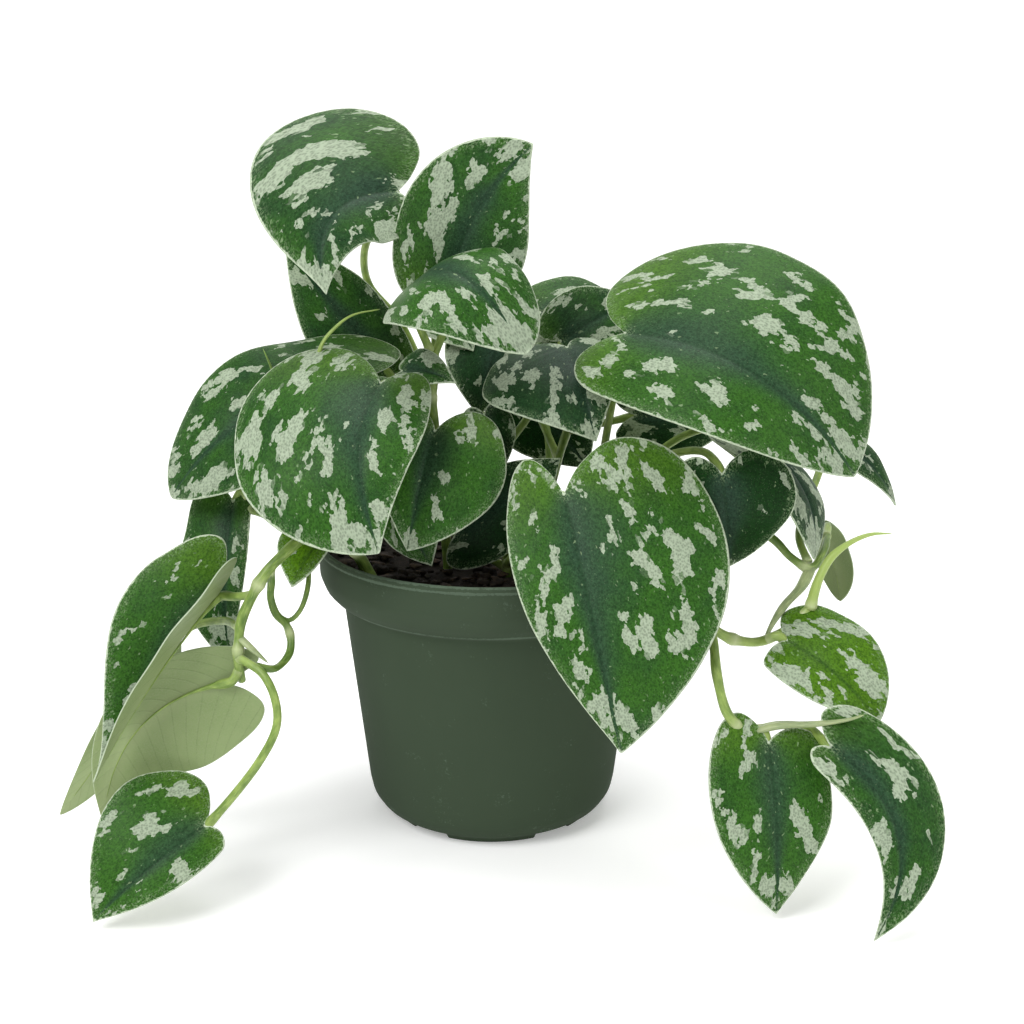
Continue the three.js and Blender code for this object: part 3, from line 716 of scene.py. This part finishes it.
# For each leaf, in mm from the pot's centre: the notch where the stalk meets the blade, the tip,
# the way the blade faces, and the width of its left and right halves. Arch and sweep are how far
# the midrib bows up and aside, full and lobes shape the outline of each half, fold and curl tilt
# and bend each half. Tone goes from deep to lime, and below 0 it darkens the blade towards a
# painted shade, for leaves that lie deep in the plant. Silver is how much of the blade is splashed.
# The stalk runs through its points from its stem to the notch.
LEAVES = {
    "top_left": dict(
        base=(-40, 17, 276), tip=(-68, -19, 236), face=(0.1, -0.8, 0.55), widths=(24, 52),
        sweep=0.26, full=(1, 0.75), lobes=(0.3, 0.8), fold=0.15, curl=-0.5, tone=0.3, silver=0.75,
        stalk=[
            (-31, 16, 154), (-31, 40, 188), (-42, 50, 214), (-56, 48, 232), (-57, 38, 248),
            (-49, 25, 264),
        ]),
    "top_centre": dict(
        base=(-17, 2, 240), tip=(18, -10, 297), face=(0, -1, 0.1), widths=(30, 28), arch=0.06,
        sweep=-0.08, full=(1.3, 1), fold=0.15, tone=0.4, silver=0.75,
        stalk=[(-26, -6, 204), (-20, -1, 219), (-16, 3, 232)]),
    "upper_middle": dict(
        base=(-29, -18, 243), tip=(15, -52, 217), face=(0.1, -0.75, 0.6), widths=(25, 30),
        arch=0.36, full=(2, 1.3), lobes=(0.8, 0.5), curl=-0.7, tone=0.5, silver=0.8,
        stalk=[(-26, -7, 211), (-31, -14, 228)]),
    "big_right": dict(
        base=(56, -24, 221), tip=(148, -54, 167), face=(0.1, -0.75, 0.6), widths=(64, 36),
        arch=0.24, full=(1.5, 1.2), lobes=(1, 0.6), fold=0.12, tone=0.55, silver=0.56,
        stalk=[(46, -2, 144), (51, -6, 180), (55, -14, 208)]),
    "big_front": dict(
        base=(30, -62, 162), tip=(52, -100, 66), face=(0, -1, 0.3), widths=(60, 27), arch=0.08,
        full=(1.15, 0.95), fold=0.12, curl=-0.35, tone=0.5, silver=0.58,
        stalk=[(7, -27, 122), (10, -44, 132), (19, -60, 156)]),
    "left_front": dict(
        base=(-45, -34, 202), tip=(-43, -78, 142), face=(-0.1, -0.8, 0.6), widths=(26, 56),
        arch=0.2, sweep=0.08, full=(1, 1.4), fold=0.15, curl=-0.6, tone=0.5, silver=0.8,
        stalk=[(-23, -12, 165), (-36, -18, 190), (-42, -26, 200)]),
    "left_back": dict(
        base=(-52, 5, 198), tip=(-138, -15, 148), face=(-0.2, -0.75, 0.6), widths=(34, 34),
        arch=0.22, full=(1.3, 1.6), curl=-0.5, tone=0.35, silver=0.6,
        stalk=[(-32, 14, 164), (-46, 12, 188)]),
    "centre_small": dict(
        base=(-23, -30, 181), tip=(-34, -55, 136), face=(0, -1, 0.4), widths=(34, 20), arch=0.15,
        full=(1.2, 1), lobes=(1.4, 1), fold=0.25, curl=-0.6, tone=0.5, silver=0.28,
        stalk=[(-21, -14, 146), (-20, -22, 170)]),
    "tiny_centre": dict(
        base=(-38, -7, 202), tip=(-14, -24, 200), face=(0, -0.8, 0.6), widths=(11, 9), arch=0.15,
        fold=0.3, curl=-0.6, tone=0.3, silver=0.6, stalk=[(-25, -6, 184), (-36, -6, 194)]),
    "silver_middle": dict(
        base=(33, 2, 211), tip=(44, -38, 178), face=(-0.1, -0.6, 0.7), widths=(18, 42), arch=0.15,
        lobes=(1, 1.5), curl=-0.5, tone=0.05, silver=0.72,
        stalk=[(4, 0, 164), (17, 8, 180), (28, 10, 198)]),
    "mid_back_right": dict(
        base=(31, 30, 209), tip=(67, 35, 227), face=(0, -0.8, 0.5), widths=(20, 20), tone=0.3,
        silver=0.5, stalk=[(36, 13, 180), (31, 24, 196)]),
    "back_right": dict(
        base=(22, 50, 219), tip=(69, 60, 214), face=(0, -0.6, 0.8), widths=(24, 24), tone=0.35,
        silver=0.6, stalk=[(34, 14, 174), (22, 40, 206)]),
    "back_left": dict(
        base=(-49, 36, 196), tip=(-92, 34, 250), face=(0.2, -1, 0.2), widths=(22, 19),
        full=(1, 1.3), tone=0.35, silver=0.5, stalk=[(-34, 14, 176), (-42, 32, 188)]),
    "behind_middle": dict(
        base=(-28, 34, 228), tip=(-8, 20, 206), face=(0, -0.6, 0.8), widths=(16, 16), tone=0.45,
        silver=0.5, stalk=[(-31, 15, 164), (-26, 30, 190), (-26, 35, 214)]),
    "dark_middle": dict(
        base=(4, 28, 213), tip=(-6, 14, 178), face=(0, -1, 0.3), widths=(14, 23), tone=-0.1,
        silver=0.4, stalk=[(30, 17, 158), (10, 32, 200)]),
    "dark_back": dict(
        base=(12, 48, 189), tip=(45, 43, 147), face=(0, -1, 0.2), widths=(26, 24), tone=-0.4,
        silver=0.3, stalk=[(26, 18, 146), (25, 34, 168), (17, 44, 185)]),
    "dark_right": dict(
        base=(64, 16, 178), tip=(112, 22, 176), face=(0, -1, 0.4), widths=(18, 20), tone=-0.2,
        silver=0.4, stalk=[(35, 13, 172), (50, 18, 174)]),
    "deep_heart": dict(
        base=(-3, 0, 182), tip=(4, -12, 157), face=(0, -1, 0.4), widths=(12, 12), tone=-0.3,
        silver=0.4, stalk=[(3, 0, 158), (-3, 5, 174)]),
    "low_middle": dict(
        base=(-15, -33, 137), tip=(30, -16, 166), face=(0, -1, 0.3), widths=(16, 20), tone=-0.3,
        silver=0.35, stalk=[(6, -25, 120), (-6, -28, 128)]),
    "low_left": dict(
        base=(-38, -42, 152), tip=(-24, -50, 128), face=(0.1, -1, -0.2), widths=(14, 12), tone=0.6,
        silver=0.2, stalk=[(-20, -17, 134), (-30, -32, 150)]),
    "right_heart": dict(
        base=(94, -56, 169), tip=(100, -44, 126), face=(0, -1, 0.1), widths=(30, 24), tone=-0.5,
        silver=0.1, stalk=[(57, -6, 157), (76, -26, 170), (89, -46, 175)]),
    "right_silver": dict(
        base=(110, -16, 173), tip=(136, -41, 128), face=(0.8, -0.5, 0.5), widths=(18, 24),
        arch=0.2, full=(1.2, 1.3), tone=0.1, silver=0.85,
        stalk=[(51, -5, 147), (84, 0, 172), (101, -12, 178)]),
    "far_right": dict(
        base=(145, 25, 169), tip=(184, 20, 135), face=(0.6, -0.6, 0.6), widths=(12, 11), arch=0.15,
        tone=0.2, silver=0.6,
        stalk=[(134, -38, 126), (132, -26, 134), (139, -8, 146), (146, 6, 158), (146, 18, 167)]),
    "right_under": dict(
        base=(148, 5, 127), tip=(157, 0, 96), face=(0.5, 0.8, 0.2), widths=(8, 10),
        full=(1.5, 1.5), tone=0.4, silver=0.4, stalk=[(145, -20, 132), (148, -6, 133)]),
    "lime_right": dict(
        base=(121, -68, 102), tip=(156, -88, 74), face=(0, -0.7, 0.7), widths=(25, 17), arch=0.15,
        full=(1.4, 1.1), lobes=(1, 0.2), fold=0.2, curl=-0.5, tone=1.0, silver=0.75,
        stalk=[(114, -64, 101), (118, -66, 103)]),
    "low_right_a": dict(
        base=(111, -95, 69), tip=(114, -113, 3), face=(0.1, -1, 0.3), widths=(24, 26),
        full=(0.95, 1.1), lobes=(0.4, 1), fold=0.15, tone=0.6, silver=0.6,
        stalk=[(106, -91, 71), (109, -91, 72)]),
    "low_right_b": dict(
        base=(134, -102, 70), tip=(148, -134, 3), face=(0.2, -1, 0.3), widths=(23, 12),
        sweep=-0.22, lobes=(0.5, 0.3), fold=0.15, tone=0.35, silver=0.5,
        stalk=[(107, -90, 72), (117, -83, 71), (128, -88, 72)]),
    "trail_left_back": dict(
        base=(-112, -12, 146), tip=(-113, -30, 77), face=(-0.3, -1, 0.3), widths=(10, 23),
        full=(1, 1.2), lobes=(0.4, 0.5), fold=0.2, curl=-0.5, tone=0.35, silver=0.5,
        stalk=[(-105, -13, 147), (-108, -11, 150)]),
    "trail_left_mid": dict(
        base=(-111, -62, 120), tip=(-156, -104, 55), face=(-0.63, -0.54, 0.5), widths=(20, 31),
        arch=0.02, sweep=0.02, full=(0.9, 0.65), lobes=(1, 1.2), fold=1, curl=-0.3, tone=0.6,
        silver=0.32, stalk=[(-95, -70, 122), (-103, -66, 120)]),
    "trail_left_far": dict(
        base=(-141, -46, 85), tip=(-181, -68, 24), face=(0.5, 0.75, 0.2), widths=(10, 12),
        arch=0.06, full=(1.3, 1.3), fold=0.15, curl=-0.5, tone=0.4, silver=0.4,
        stalk=[(-101, -73, 109), (-112, -50, 104), (-128, -42, 98)]),
    "trail_left_under": dict(
        base=(-109, -75, 86), tip=(-157, -90, 31), face=(0.3, 1, 0.3), widths=(18, 30), arch=0.05,
        sweep=-0.18, tone=0.4, silver=0.4, stalk=[(-101, -76, 93), (-104, -78, 88)]),
    "bottom_left": dict(
        base=(-113, -102, 36), tip=(-155, -121, 4), face=(-0.1, -1, 0.6), widths=(14, 34),
        arch=0.12, lobes=(0.3, 1), fold=0.15, tone=0.68, silver=0.45,
        stalk=[
            (-101, -78, 98), (-96, -82, 97), (-90, -86, 94), (-85, -91, 86), (-84, -95, 76),
            (-91, -99, 62),
        ]),
    "lime_left": dict(
        base=(-71, -42, 137), tip=(-82, -54, 120), face=(-0.3, -1, 0.3), widths=(7, 15),
        full=(1.2, 1), fold=0.4, tone=1.15, silver=0.1, stalk=[(-57, -41, 131), (-66, -42, 141)]),
}


def outline(rib):
    """Points of the half outline at shares of its run from notch to tip, on a smooth curve."""
    last = len(HALF_OUTLINE) - 1
    place = np.clip(rib, 0, 1) * last
    first = np.minimum(place.astype(int), last - 1)
    t = (place - first)[:, None]
    p0, p1, p2, p3 = (HALF_OUTLINE[np.clip(first + i, 0, last)] for i in (-1, 0, 1, 2))
    leave, arrive = (p2 - p0) / 2, (p3 - p1) / 2
    return curve_point(p1, p2, leave, arrive, t)


class Midrib:
    """The line of a leaf's midrib and the directions ahead, up and to the right along it, in mm."""

    def __init__(self, leaf):
        self.start = np.array(leaf["base"], float)
        self.chord = np.array(leaf["tip"], float) - self.start
        self.length = np.linalg.norm(self.chord)
        ahead = self.chord / self.length
        face = np.array(leaf["face"], float)
        up = face - ahead * (face @ ahead)
        self.up = up / np.linalg.norm(up)
        self.aside = np.cross(ahead, self.up)
        self.arch = leaf["arch"] * self.length
        self.sweep = leaf["sweep"] * self.length

    def point(self, u):
        u = np.atleast_1d(np.asarray(u, float))[:, None]
        bow = 4 * u * (1 - u)
        return self.start + self.chord * u + (self.up * self.arch + self.aside * self.sweep) * bow

    def frame(self, u):
        along = self.point(np.asarray(u) + 0.01) - self.point(np.asarray(u) - 0.01)
        along /= np.linalg.norm(along, axis=1)[:, None]
        normal = self.up - along * (along @ self.up)[:, None]
        normal /= np.linalg.norm(normal, axis=1)[:, None]
        return along, normal, np.cross(along, normal)


def per_side(out, pair):
    """The first of the pair left of the midrib, and the second right of it."""
    return np.where(out < 0, pair[0], pair[1])


def blade(leaf, seed):
    """A grid laid out as the blade, waved, quilted and thick, with the places its colours need."""
    alone()
    bpy.ops.mesh.primitive_grid_add(x_subdivisions=ACROSS, y_subdivisions=RIBS, size=2)
    piece = bpy.context.object
    flat = np.array([v.co for v in piece.data.vertices])
    out, rib = flat[:, 0], (flat[:, 1] + 1) / 2
    share = np.abs(out)
    side = np.where(out < 0, -1, 1)
    edge = outline(rib)
    lobes = per_side(out, leaf["lobes"])
    full = per_side(out, leaf["full"])
    beyond_notch = 1 - (1 - np.clip(edge[:, 0], 0, 1)) ** full
    margin = np.where(edge[:, 0] < 0, edge[:, 0] * lobes, beyond_notch)
    start = rib**VEIN_START
    along = start + (margin - start) * share**VEIN_SWEEP
    width = per_side(out, leaf["widths"])
    fold, curl = leaf["fold"], leaf["curl"]
    angle = fold + curl * share * edge[:, 1]
    across = width * (np.sin(angle) - np.sin(fold)) / curl
    rise = width * (np.cos(fold) - np.cos(angle)) / curl

    line = Midrib(leaf)
    reach = share * edge[:, 1] * width
    phase = (along - VEIN_SLANT * share**1.4 * edge[:, 1]) * SIDE_VEINS
    inner = np.sin(np.pi * np.clip(share, 0, 1)) * np.clip(edge[:, 1] * 3, 0, 1)
    quilt = QUILTING * line.length * (np.abs(np.sin(np.pi * phase)) - 0.5) * inner
    groove = -GROOVE_DEPTH * np.exp(-((reach / GROOVE_WIDTH) ** 2)) * np.clip(edge[:, 1] * 3, 0, 1)
    wave = np.array([noise.noise(Vector((seed, a * 3.2, s))) for a, s in zip(along, side)])
    wave *= MARGIN_WAVE * line.length * share**2 * edge[:, 1]
    ripple = np.sin(along * 9 + seed * 2.1 + side)
    ripple *= MARGIN_RIPPLE * line.length * share**3 * edge[:, 1]
    lift = quilt + groove + wave + ripple

    ahead, normal, right = line.frame(along)
    place = line.point(along) + right * (side * (across - lift * np.sin(angle)))[:, None]
    place += normal * (rise + lift * np.cos(angle))[:, None]
    move_to(piece, place)

    plane = np.stack([along * line.length, side * reach], 1)
    border = plane[(share > 0.999) | (rib < 0.001) | (rib > 0.999)]
    to_edge = np.sqrt(((plane[:, None] - border[None]) ** 2).sum(2)).min(1)
    lean, tall = math.sin(SPLASH_SLANT), math.cos(SPLASH_SLANT)
    forwards = plane[:, 0] * tall + reach * lean
    sideways = reach * tall - plane[:, 0] * lean
    fields = {
        "grain": np.stack([sideways, forwards, side * reach * 0.7 + seed * 70], 1),
        "margin": to_edge, "share": reach / (width * np.maximum(edge[:, 1], 0.05)),
        "ahead": along, "phase": phase, "reach": reach,
        "tone": np.full(len(flat), leaf["tone"]), "silver": np.full(len(flat), leaf["silver"]),
    }
    for field, values in fields.items():
        store(piece.data, field, values)

    weld(MM / 50, closed=False)
    for finish in (leaf_face, leaf_back, leaf_rim, stem_flesh):
        piece.data.materials.append(finish)
    apply_modifier(
        piece, "SOLIDIFY", thickness=BLADE_THICKNESS * MM, offset=0.0,
        material_offset=1, material_offset_rim=2,
    )
    apply_modifier(piece, "SUBSURF", levels=1, render_levels=1)
    bpy.ops.object.shade_smooth()
    return piece


def stalk(leaf):
    """The stalk, which swells where it meets the blade and runs on under it as its midrib."""
    line = Midrib(leaf)
    below = [Vector(p) for p in leaf["stalk"]]
    beyond = np.array(MIDRIB_SHARES)
    midrib_radii = STALK_RADIUS * min(1, 0.45 + line.length / 110)
    midrib_radii *= (0.3 + 0.7 * np.exp(-beyond / 0.08)) * (1 - beyond) ** 0.7
    _, normal, _ = line.frame(beyond)
    sunk = line.point(beyond) - normal * (midrib_radii + MIDRIB_SUNK)[:, None]
    route = smooth_route([*below, *(Vector(p) for p in sunk)], ROUTE_STEP)
    along = lengths_along(route)
    joint = np.linalg.norm(np.array(route) - sunk[0], axis=1).argmin()
    on_blade = np.clip((along - along[joint]) / (along[-1] - along[joint]), 0, 1)
    narrowing = np.interp(on_blade, beyond / beyond[-1], midrib_radii)
    radii = np.where(along <= along[joint], STALK_RADIUS, narrowing)
    radii = radii * (1 + JOINT_SWELL * np.exp(-(((along - along[joint] + 3) / 4) ** 2)))
    radii *= 1 + FOOT_SWELL * np.exp(-((along / 3) ** 2))
    return swept(route, radii, rings=(0.0,))


# Silver splashes: ragged patches drawn out along the side veins, flecks that thicken towards the
# margin and tip, and a fine sparkle of single cells. Green is left along the midrib.
splash, group_in, group_out = node_group(
    "silver_splash",
    [
        ("Grain", "NodeSocketVector"), ("Margin", "NodeSocketFloat"), ("Share", "NodeSocketFloat"),
        ("Ahead", "NodeSocketFloat"), ("Silver", "NodeSocketFloat"),
    ],
    [("Patches", "NodeSocketFloat"), ("Flecks", "NodeSocketFloat"), ("Rim", "NodeSocketFloat")],
)
grain, margin, across, ahead, silver = group_in.outputs[:5]
wobble = put("ShaderNodeTexNoise", {"Vector": grain, "Scale": 0.4, "Detail": 2.0})
inputs = {0: wobble.outputs["Color"], 1: (3, 3, 3), 2: grain}
bent = put("ShaderNodeVectorMath", inputs, operation="MULTIPLY_ADD").outputs[0]
drawn_out = stretched(bent, (1, 0.6, 1))
cells = put("ShaderNodeTexVoronoi", {"Vector": drawn_out, "Scale": 0.56}).outputs
islands = put("ShaderNodeSeparateColor", {0: cells["Color"]}).outputs[0]
patch = clouds(cells["Position"], 0.115, 1.6, 0.5)
level = plus(patch, times(minus(islands, 0.5), 0.05))
level = minus(level, times(window(across, 0.4, 0.1), 0.17))
level = minus(level, times(window(across, 0.8, 1.0), 0.05))
near_tip = window(ahead, 0.7, 1.0)
level = plus(level, times(near_tip, 0.09))
level = plus(level, times(minus(silver, 0.5), 0.16))
splash.links.new(window(level, 0.572, 0.585), group_out.inputs["Patches"])

dots = put("ShaderNodeTexVoronoi", {"Vector": drawn_out, "Scale": 0.75}).outputs
draw = put("ShaderNodeSeparateColor", {0: dots["Color"]}).outputs
by_margin = window(margin, 9.0, 1.0)
chance = plus(times(plus(by_margin, near_tip), 0.3), 0.08)
chosen = maths("LESS_THAN", draw[0], chance)
dot_size = plus(times(draw[1], 0.28), 0.1)
dot = window(minus(dots["Distance"], dot_size), 0.04, -0.04)
sparkle = window(clouds(grain, 2.1, 1, 0.5), 0.66, 0.74)
bright = maths("MAXIMUM", times(dot, chosen), times(sparkle, 0.45))
dust = window(clouds(grain, 1.5, 1, 0.5), 0.47, 0.6)
dusty = times(dust, window(margin, 5.5, 0.5))
bright = maths("MAXIMUM", bright, times(dusty, 0.85))
splash.links.new(bright, group_out.inputs["Flecks"])

uneven = times(minus(clouds(grain, 0.5, 2, 0.6), 0.5), 2.0)
rim = window(plus(margin, uneven), 0.9, 0.35)
splash.links.new(rim, group_out.inputs["Rim"])

# Upper face: greens that go from deep to lime with the leaf's tone and to a painted shade below 0,
# a dark middle, paler lobes, thin side veins, a painted shade in the midrib's crease, and over them
# the silver.
GREEN_DEEP = (0.014, 0.047, 0.015, 1)
GREEN_FRESH = (0.03, 0.1, 0.011, 1)
GREEN_LIME = (0.07, 0.165, 0.006, 1)
GREEN_PAINTED_SHADE = (0.003, 0.03, 0.002, 1)
GREEN_LOBE = (0.07, 0.155, 0.01, 1)
GREEN_MIDDLE = (0.023, 0.05, 0.034, 1)
GREEN_VEIN = (0.01, 0.045, 0.01, 1)
GREEN_CREASE_PAINTED_SHADE = (0.008, 0.03, 0.01, 1)
MOTTLE_SHADE = (0.55, 0.62, 0.6)
SILVER_DULL = (0.22, 0.275, 0.19, 1)
SILVER_BRIGHT = (0.36, 0.42, 0.31, 1)
FLECK_COLOUR = (0.19, 0.27, 0.14, 1)
RIM_COLOUR = (0.4, 0.47, 0.34, 1)


def off_vein(tree):
    """How near a place is to a side vein: 0.5 on it, and 0 midway between two."""
    return maths("ABSOLUTE", minus(maths("FRACT", reads(tree, "phase")["Fac"]), 0.5))


leaf_face, tree, shader = finish_with("leaf_face", specular=0.1)
grain = reads(tree, "grain")["Vector"]
fields = ("margin", "share", "ahead", "silver", "tone", "reach")
margin, across, ahead, silver, own_tone, reach = (reads(tree, name)["Fac"] for name in fields)
inputs = {"Grain": grain, "Margin": margin, "Share": across, "Ahead": ahead, "Silver": silver}
marks = put("ShaderNodeGroup", inputs, node_tree=splash).outputs
drift = clouds(grain, 0.07, 3)
mottle = clouds(grain, 0.6, 3, 0.65)
tone = plus(own_tone, times(minus(drift, 0.5), 0.9))
green = mixed(window(tone, 0.0, 0.7), GREEN_DEEP, GREEN_FRESH)
green = mixed(window(own_tone, 0.75, 1.1), green, GREEN_LIME)
# Painted shade: leaves with a tone below 0, deep in the plant, turn near black-green.
green = mixed(window(own_tone, 0.0, -0.6), green, GREEN_PAINTED_SHADE)
lobe = times(window(ahead, 0.2, -0.12), window(own_tone, 0.1, 0.6))
green = mixed(times(lobe, 0.65), green, GREEN_LOBE)
middle = times(window(across, 0.5, 0.02), window(own_tone, 1.1, 0.6))
green = mixed(times(middle, 0.75), green, GREEN_MIDDLE)
deeper = stretched(green, MOTTLE_SHADE)
green = mixed(window(mottle, 0.4, 0.75), green, deeper)
side_line = times(window(off_vein(tree), 0.46, 0.5), 0.25)
green = mixed(side_line, green, GREEN_VEIN)
# Painted shade: a darker line in the groove along the midrib, fading out towards the tip.
midrib_painted_shade = times(window(reach, 1.3, 0.2), window(ahead, 1.0, 0.6))
green = mixed(times(midrib_painted_shade, 0.4), green, GREEN_CREASE_PAINTED_SHADE)
silver = mixed(mottle, SILVER_DULL, SILVER_BRIGHT)
colour = mixed(times(marks["Flecks"], 0.6), green, FLECK_COLOUR)
colour = mixed(times(marks["Patches"], 0.92), colour, silver)
colour = mixed(marks["Rim"], colour, RIM_COLOUR)
cell = put("ShaderNodeTexVoronoi", {"Vector": grain, "Scale": 1.0}).outputs["Distance"]
shade = plus(times(window(cell, 0.15, 0.75), 0.5), 0.78)
inputs = {0: colour, 3: shade}
colour = put("ShaderNodeVectorMath", inputs, operation="SCALE").outputs[0]
wire(shader, Base_Color=colour)
rough = plus(times(marks["Patches"], 0.12), 0.4)
wire(shader, Roughness=rough)
relief = minus(waxy_height(grain, 0.8), times(marks["Patches"], 0.3))
wire_bump(shader, relief, 0.4, 0.22 * MM)

# Underside: pale sage with darker side veins and a lighter midrib. The rim between the faces is
# paler still.
SAGE_DEEP = (0.17, 0.245, 0.09, 1)
SAGE_LIGHT = (0.26, 0.335, 0.145, 1)
SAGE_LIME = (0.19, 0.3, 0.05, 1)
SAGE_VEIN = (0.11, 0.17, 0.06, 1)
SAGE_MIDRIB = (0.29, 0.35, 0.17, 1)
SAGE_MOTTLE = (0.24, 0.3, 0.14, 1)
EDGE_DEEP = (0.34, 0.42, 0.27, 1)
EDGE_LIGHT = (0.5, 0.58, 0.43, 1)

leaf_back, tree, shader = finish_with("leaf_back", roughness=0.55, specular=0.3)
grain = reads(tree, "grain")["Vector"]
slit = off_vein(tree)
sage = mixed(clouds(grain, 0.09, 3), SAGE_DEEP, SAGE_LIGHT)
sage = mixed(window(reads(tree, "tone")["Fac"], 0.8, 1.1), sage, SAGE_LIME)
sage = mixed(times(window(slit, 0.44, 0.5), 0.4), sage, SAGE_VEIN)
by_midrib = window(reads(tree, "reach")["Fac"], 6.0, 0.5)
sage = mixed(times(by_midrib, 0.5), sage, SAGE_MIDRIB)
sage = mixed(window(clouds(grain, 1.4, 2), 0.3, 0.8), sage, SAGE_MOTTLE)
wire(shader, Base_Color=sage)
raised = times(window(slit, 0.4, 0.5), 0.8)
raised = plus(waxy_height(grain, 0.6), raised)
wire_bump(shader, raised, 0.4, 0.25 * MM)

leaf_rim, tree, shader = finish_with("leaf_rim", roughness=0.5, specular=0.4)
grain = reads(tree, "grain")["Vector"]
colour = mixed(clouds(grain, 0.8, 2), EDGE_DEEP, EDGE_LIGHT)
wire(shader, Base_Color=colour)
wire_bump(shader, clouds(grain, 2.0, 2), 0.2, 0.15 * MM)

for number, (name, leaf) in enumerate(LEAVES.items()):
    leaf = LEAF_DEFAULTS | leaf
    piece = blade(leaf, number + 1)
    lower = stalk(leaf)
    lower.data.materials.append(stem_flesh)
    joined(piece, [lower])
    settle(piece, "grown_leaf_" + name, "leaf_" + name)

# --------------------------------------
# Studio. A white paper sweep under and behind the plant, soft boxes on both sides and overhead, and
# the camera a little above the leaves. Lengths are in metres.
# --------------------------------------
SWEEP_WIDTH = 6.0
SWEEP_REACH = 2.6
SWEEP_BACK = 2.2
SWEEP_HEIGHT = 3
SWEEP_BEND = 1.2
PAPER_GLOW = 0.28
WORLD_LIGHT = 0.42
# For each soft box: where it stands, its size and its power in watts.
SOFT_BOXES = {
    "key_light": ((-1.0, -1.1, 1.5), 1.0, 26),
    "fill_light": ((1.4, -0.9, 0.9), 1.2, 7),
    "top_light": ((0.1, 0.35, 1.7), 1.2, 17),
}
LIT_SPOT = Vector((0, 0, 0.15))
CAMERA_SPOT = Vector((9.14, -680, 323)) * MM
CAMERA_DOWN = math.radians(15.25)
CAMERA_LENS = 55.9
CAMERA_SENSOR = 36

alone()
bpy.ops.mesh.primitive_plane_add(size=1, location=(0, (SWEEP_BACK - SWEEP_REACH) / 2, 0))
sweep = bpy.context.object
sweep.name = "paper_sweep"
sweep.scale = (SWEEP_WIDTH, SWEEP_BACK + SWEEP_REACH, 1)
bpy.ops.object.transform_apply(location=True, scale=True)
for edge in sweep.data.edges:
    edge.select = all(sweep.data.vertices[i].co.y > 0 for i in edge.vertices)
for polygon in sweep.data.polygons:
    polygon.select = False
for vertex in sweep.data.vertices:
    vertex.select = vertex.co.y > 0
bpy.ops.object.mode_set(mode="EDIT")
bpy.ops.mesh.select_mode(type="EDGE")
bpy.ops.mesh.extrude_region_move(TRANSFORM_OT_translate={"value": (0, 0, SWEEP_HEIGHT)})
bpy.ops.object.mode_set(mode="OBJECT")
for edge in sweep.data.edges:
    ends = [sweep.data.vertices[i].co for i in edge.vertices]
    edge.select = all(end.y > 0 and end.z < 1 for end in ends)
bpy.ops.object.mode_set(mode="EDIT")
bpy.ops.mesh.bevel(offset=SWEEP_BEND, segments=24)
bpy.ops.object.mode_set(mode="OBJECT")
bpy.ops.object.shade_smooth()
paper, tree, shader = finish_with("white_paper", roughness=0.9, specular=0.1)
shader.inputs["Base Color"].default_value = (0.9, 0.9, 0.9, 1)
shader.inputs["Emission Color"].default_value = (1, 1, 1, 1)
shader.inputs["Emission Strength"].default_value = PAPER_GLOW
sweep.data.materials.append(paper)

world = bpy.data.worlds.new("studio")
bpy.context.scene.world = world
world.use_nodes = True
background = world.node_tree.nodes["Background"]
background.inputs["Color"].default_value = (1, 1, 1, 1)
background.inputs["Strength"].default_value = WORLD_LIGHT


def soft_box(name, spot, size, power):
    """A square light on its stand, turned to the middle of the plant."""
    alone()
    bpy.ops.object.light_add(type="AREA", location=spot)
    light = bpy.context.object
    light.name = name
    light.data.size = size
    light.data.energy = power
    light.rotation_mode = "QUATERNION"
    light.rotation_quaternion = (Vector(spot) - LIT_SPOT).to_track_quat("Z", "Y")


for name, (spot, size, power) in SOFT_BOXES.items():
    soft_box(name, spot, size, power)

alone()
bpy.ops.object.camera_add(
    location=POT_CENTRE + CAMERA_SPOT, rotation=(math.pi / 2 - CAMERA_DOWN, 0, 0)
)
camera = bpy.context.object
camera.data.lens = CAMERA_LENS
camera.data.sensor_width = CAMERA_SENSOR
camera.data.clip_start = 0.01
bpy.context.scene.camera = camera
bpy.context.scene.view_settings.view_transform = "Standard"

alone()
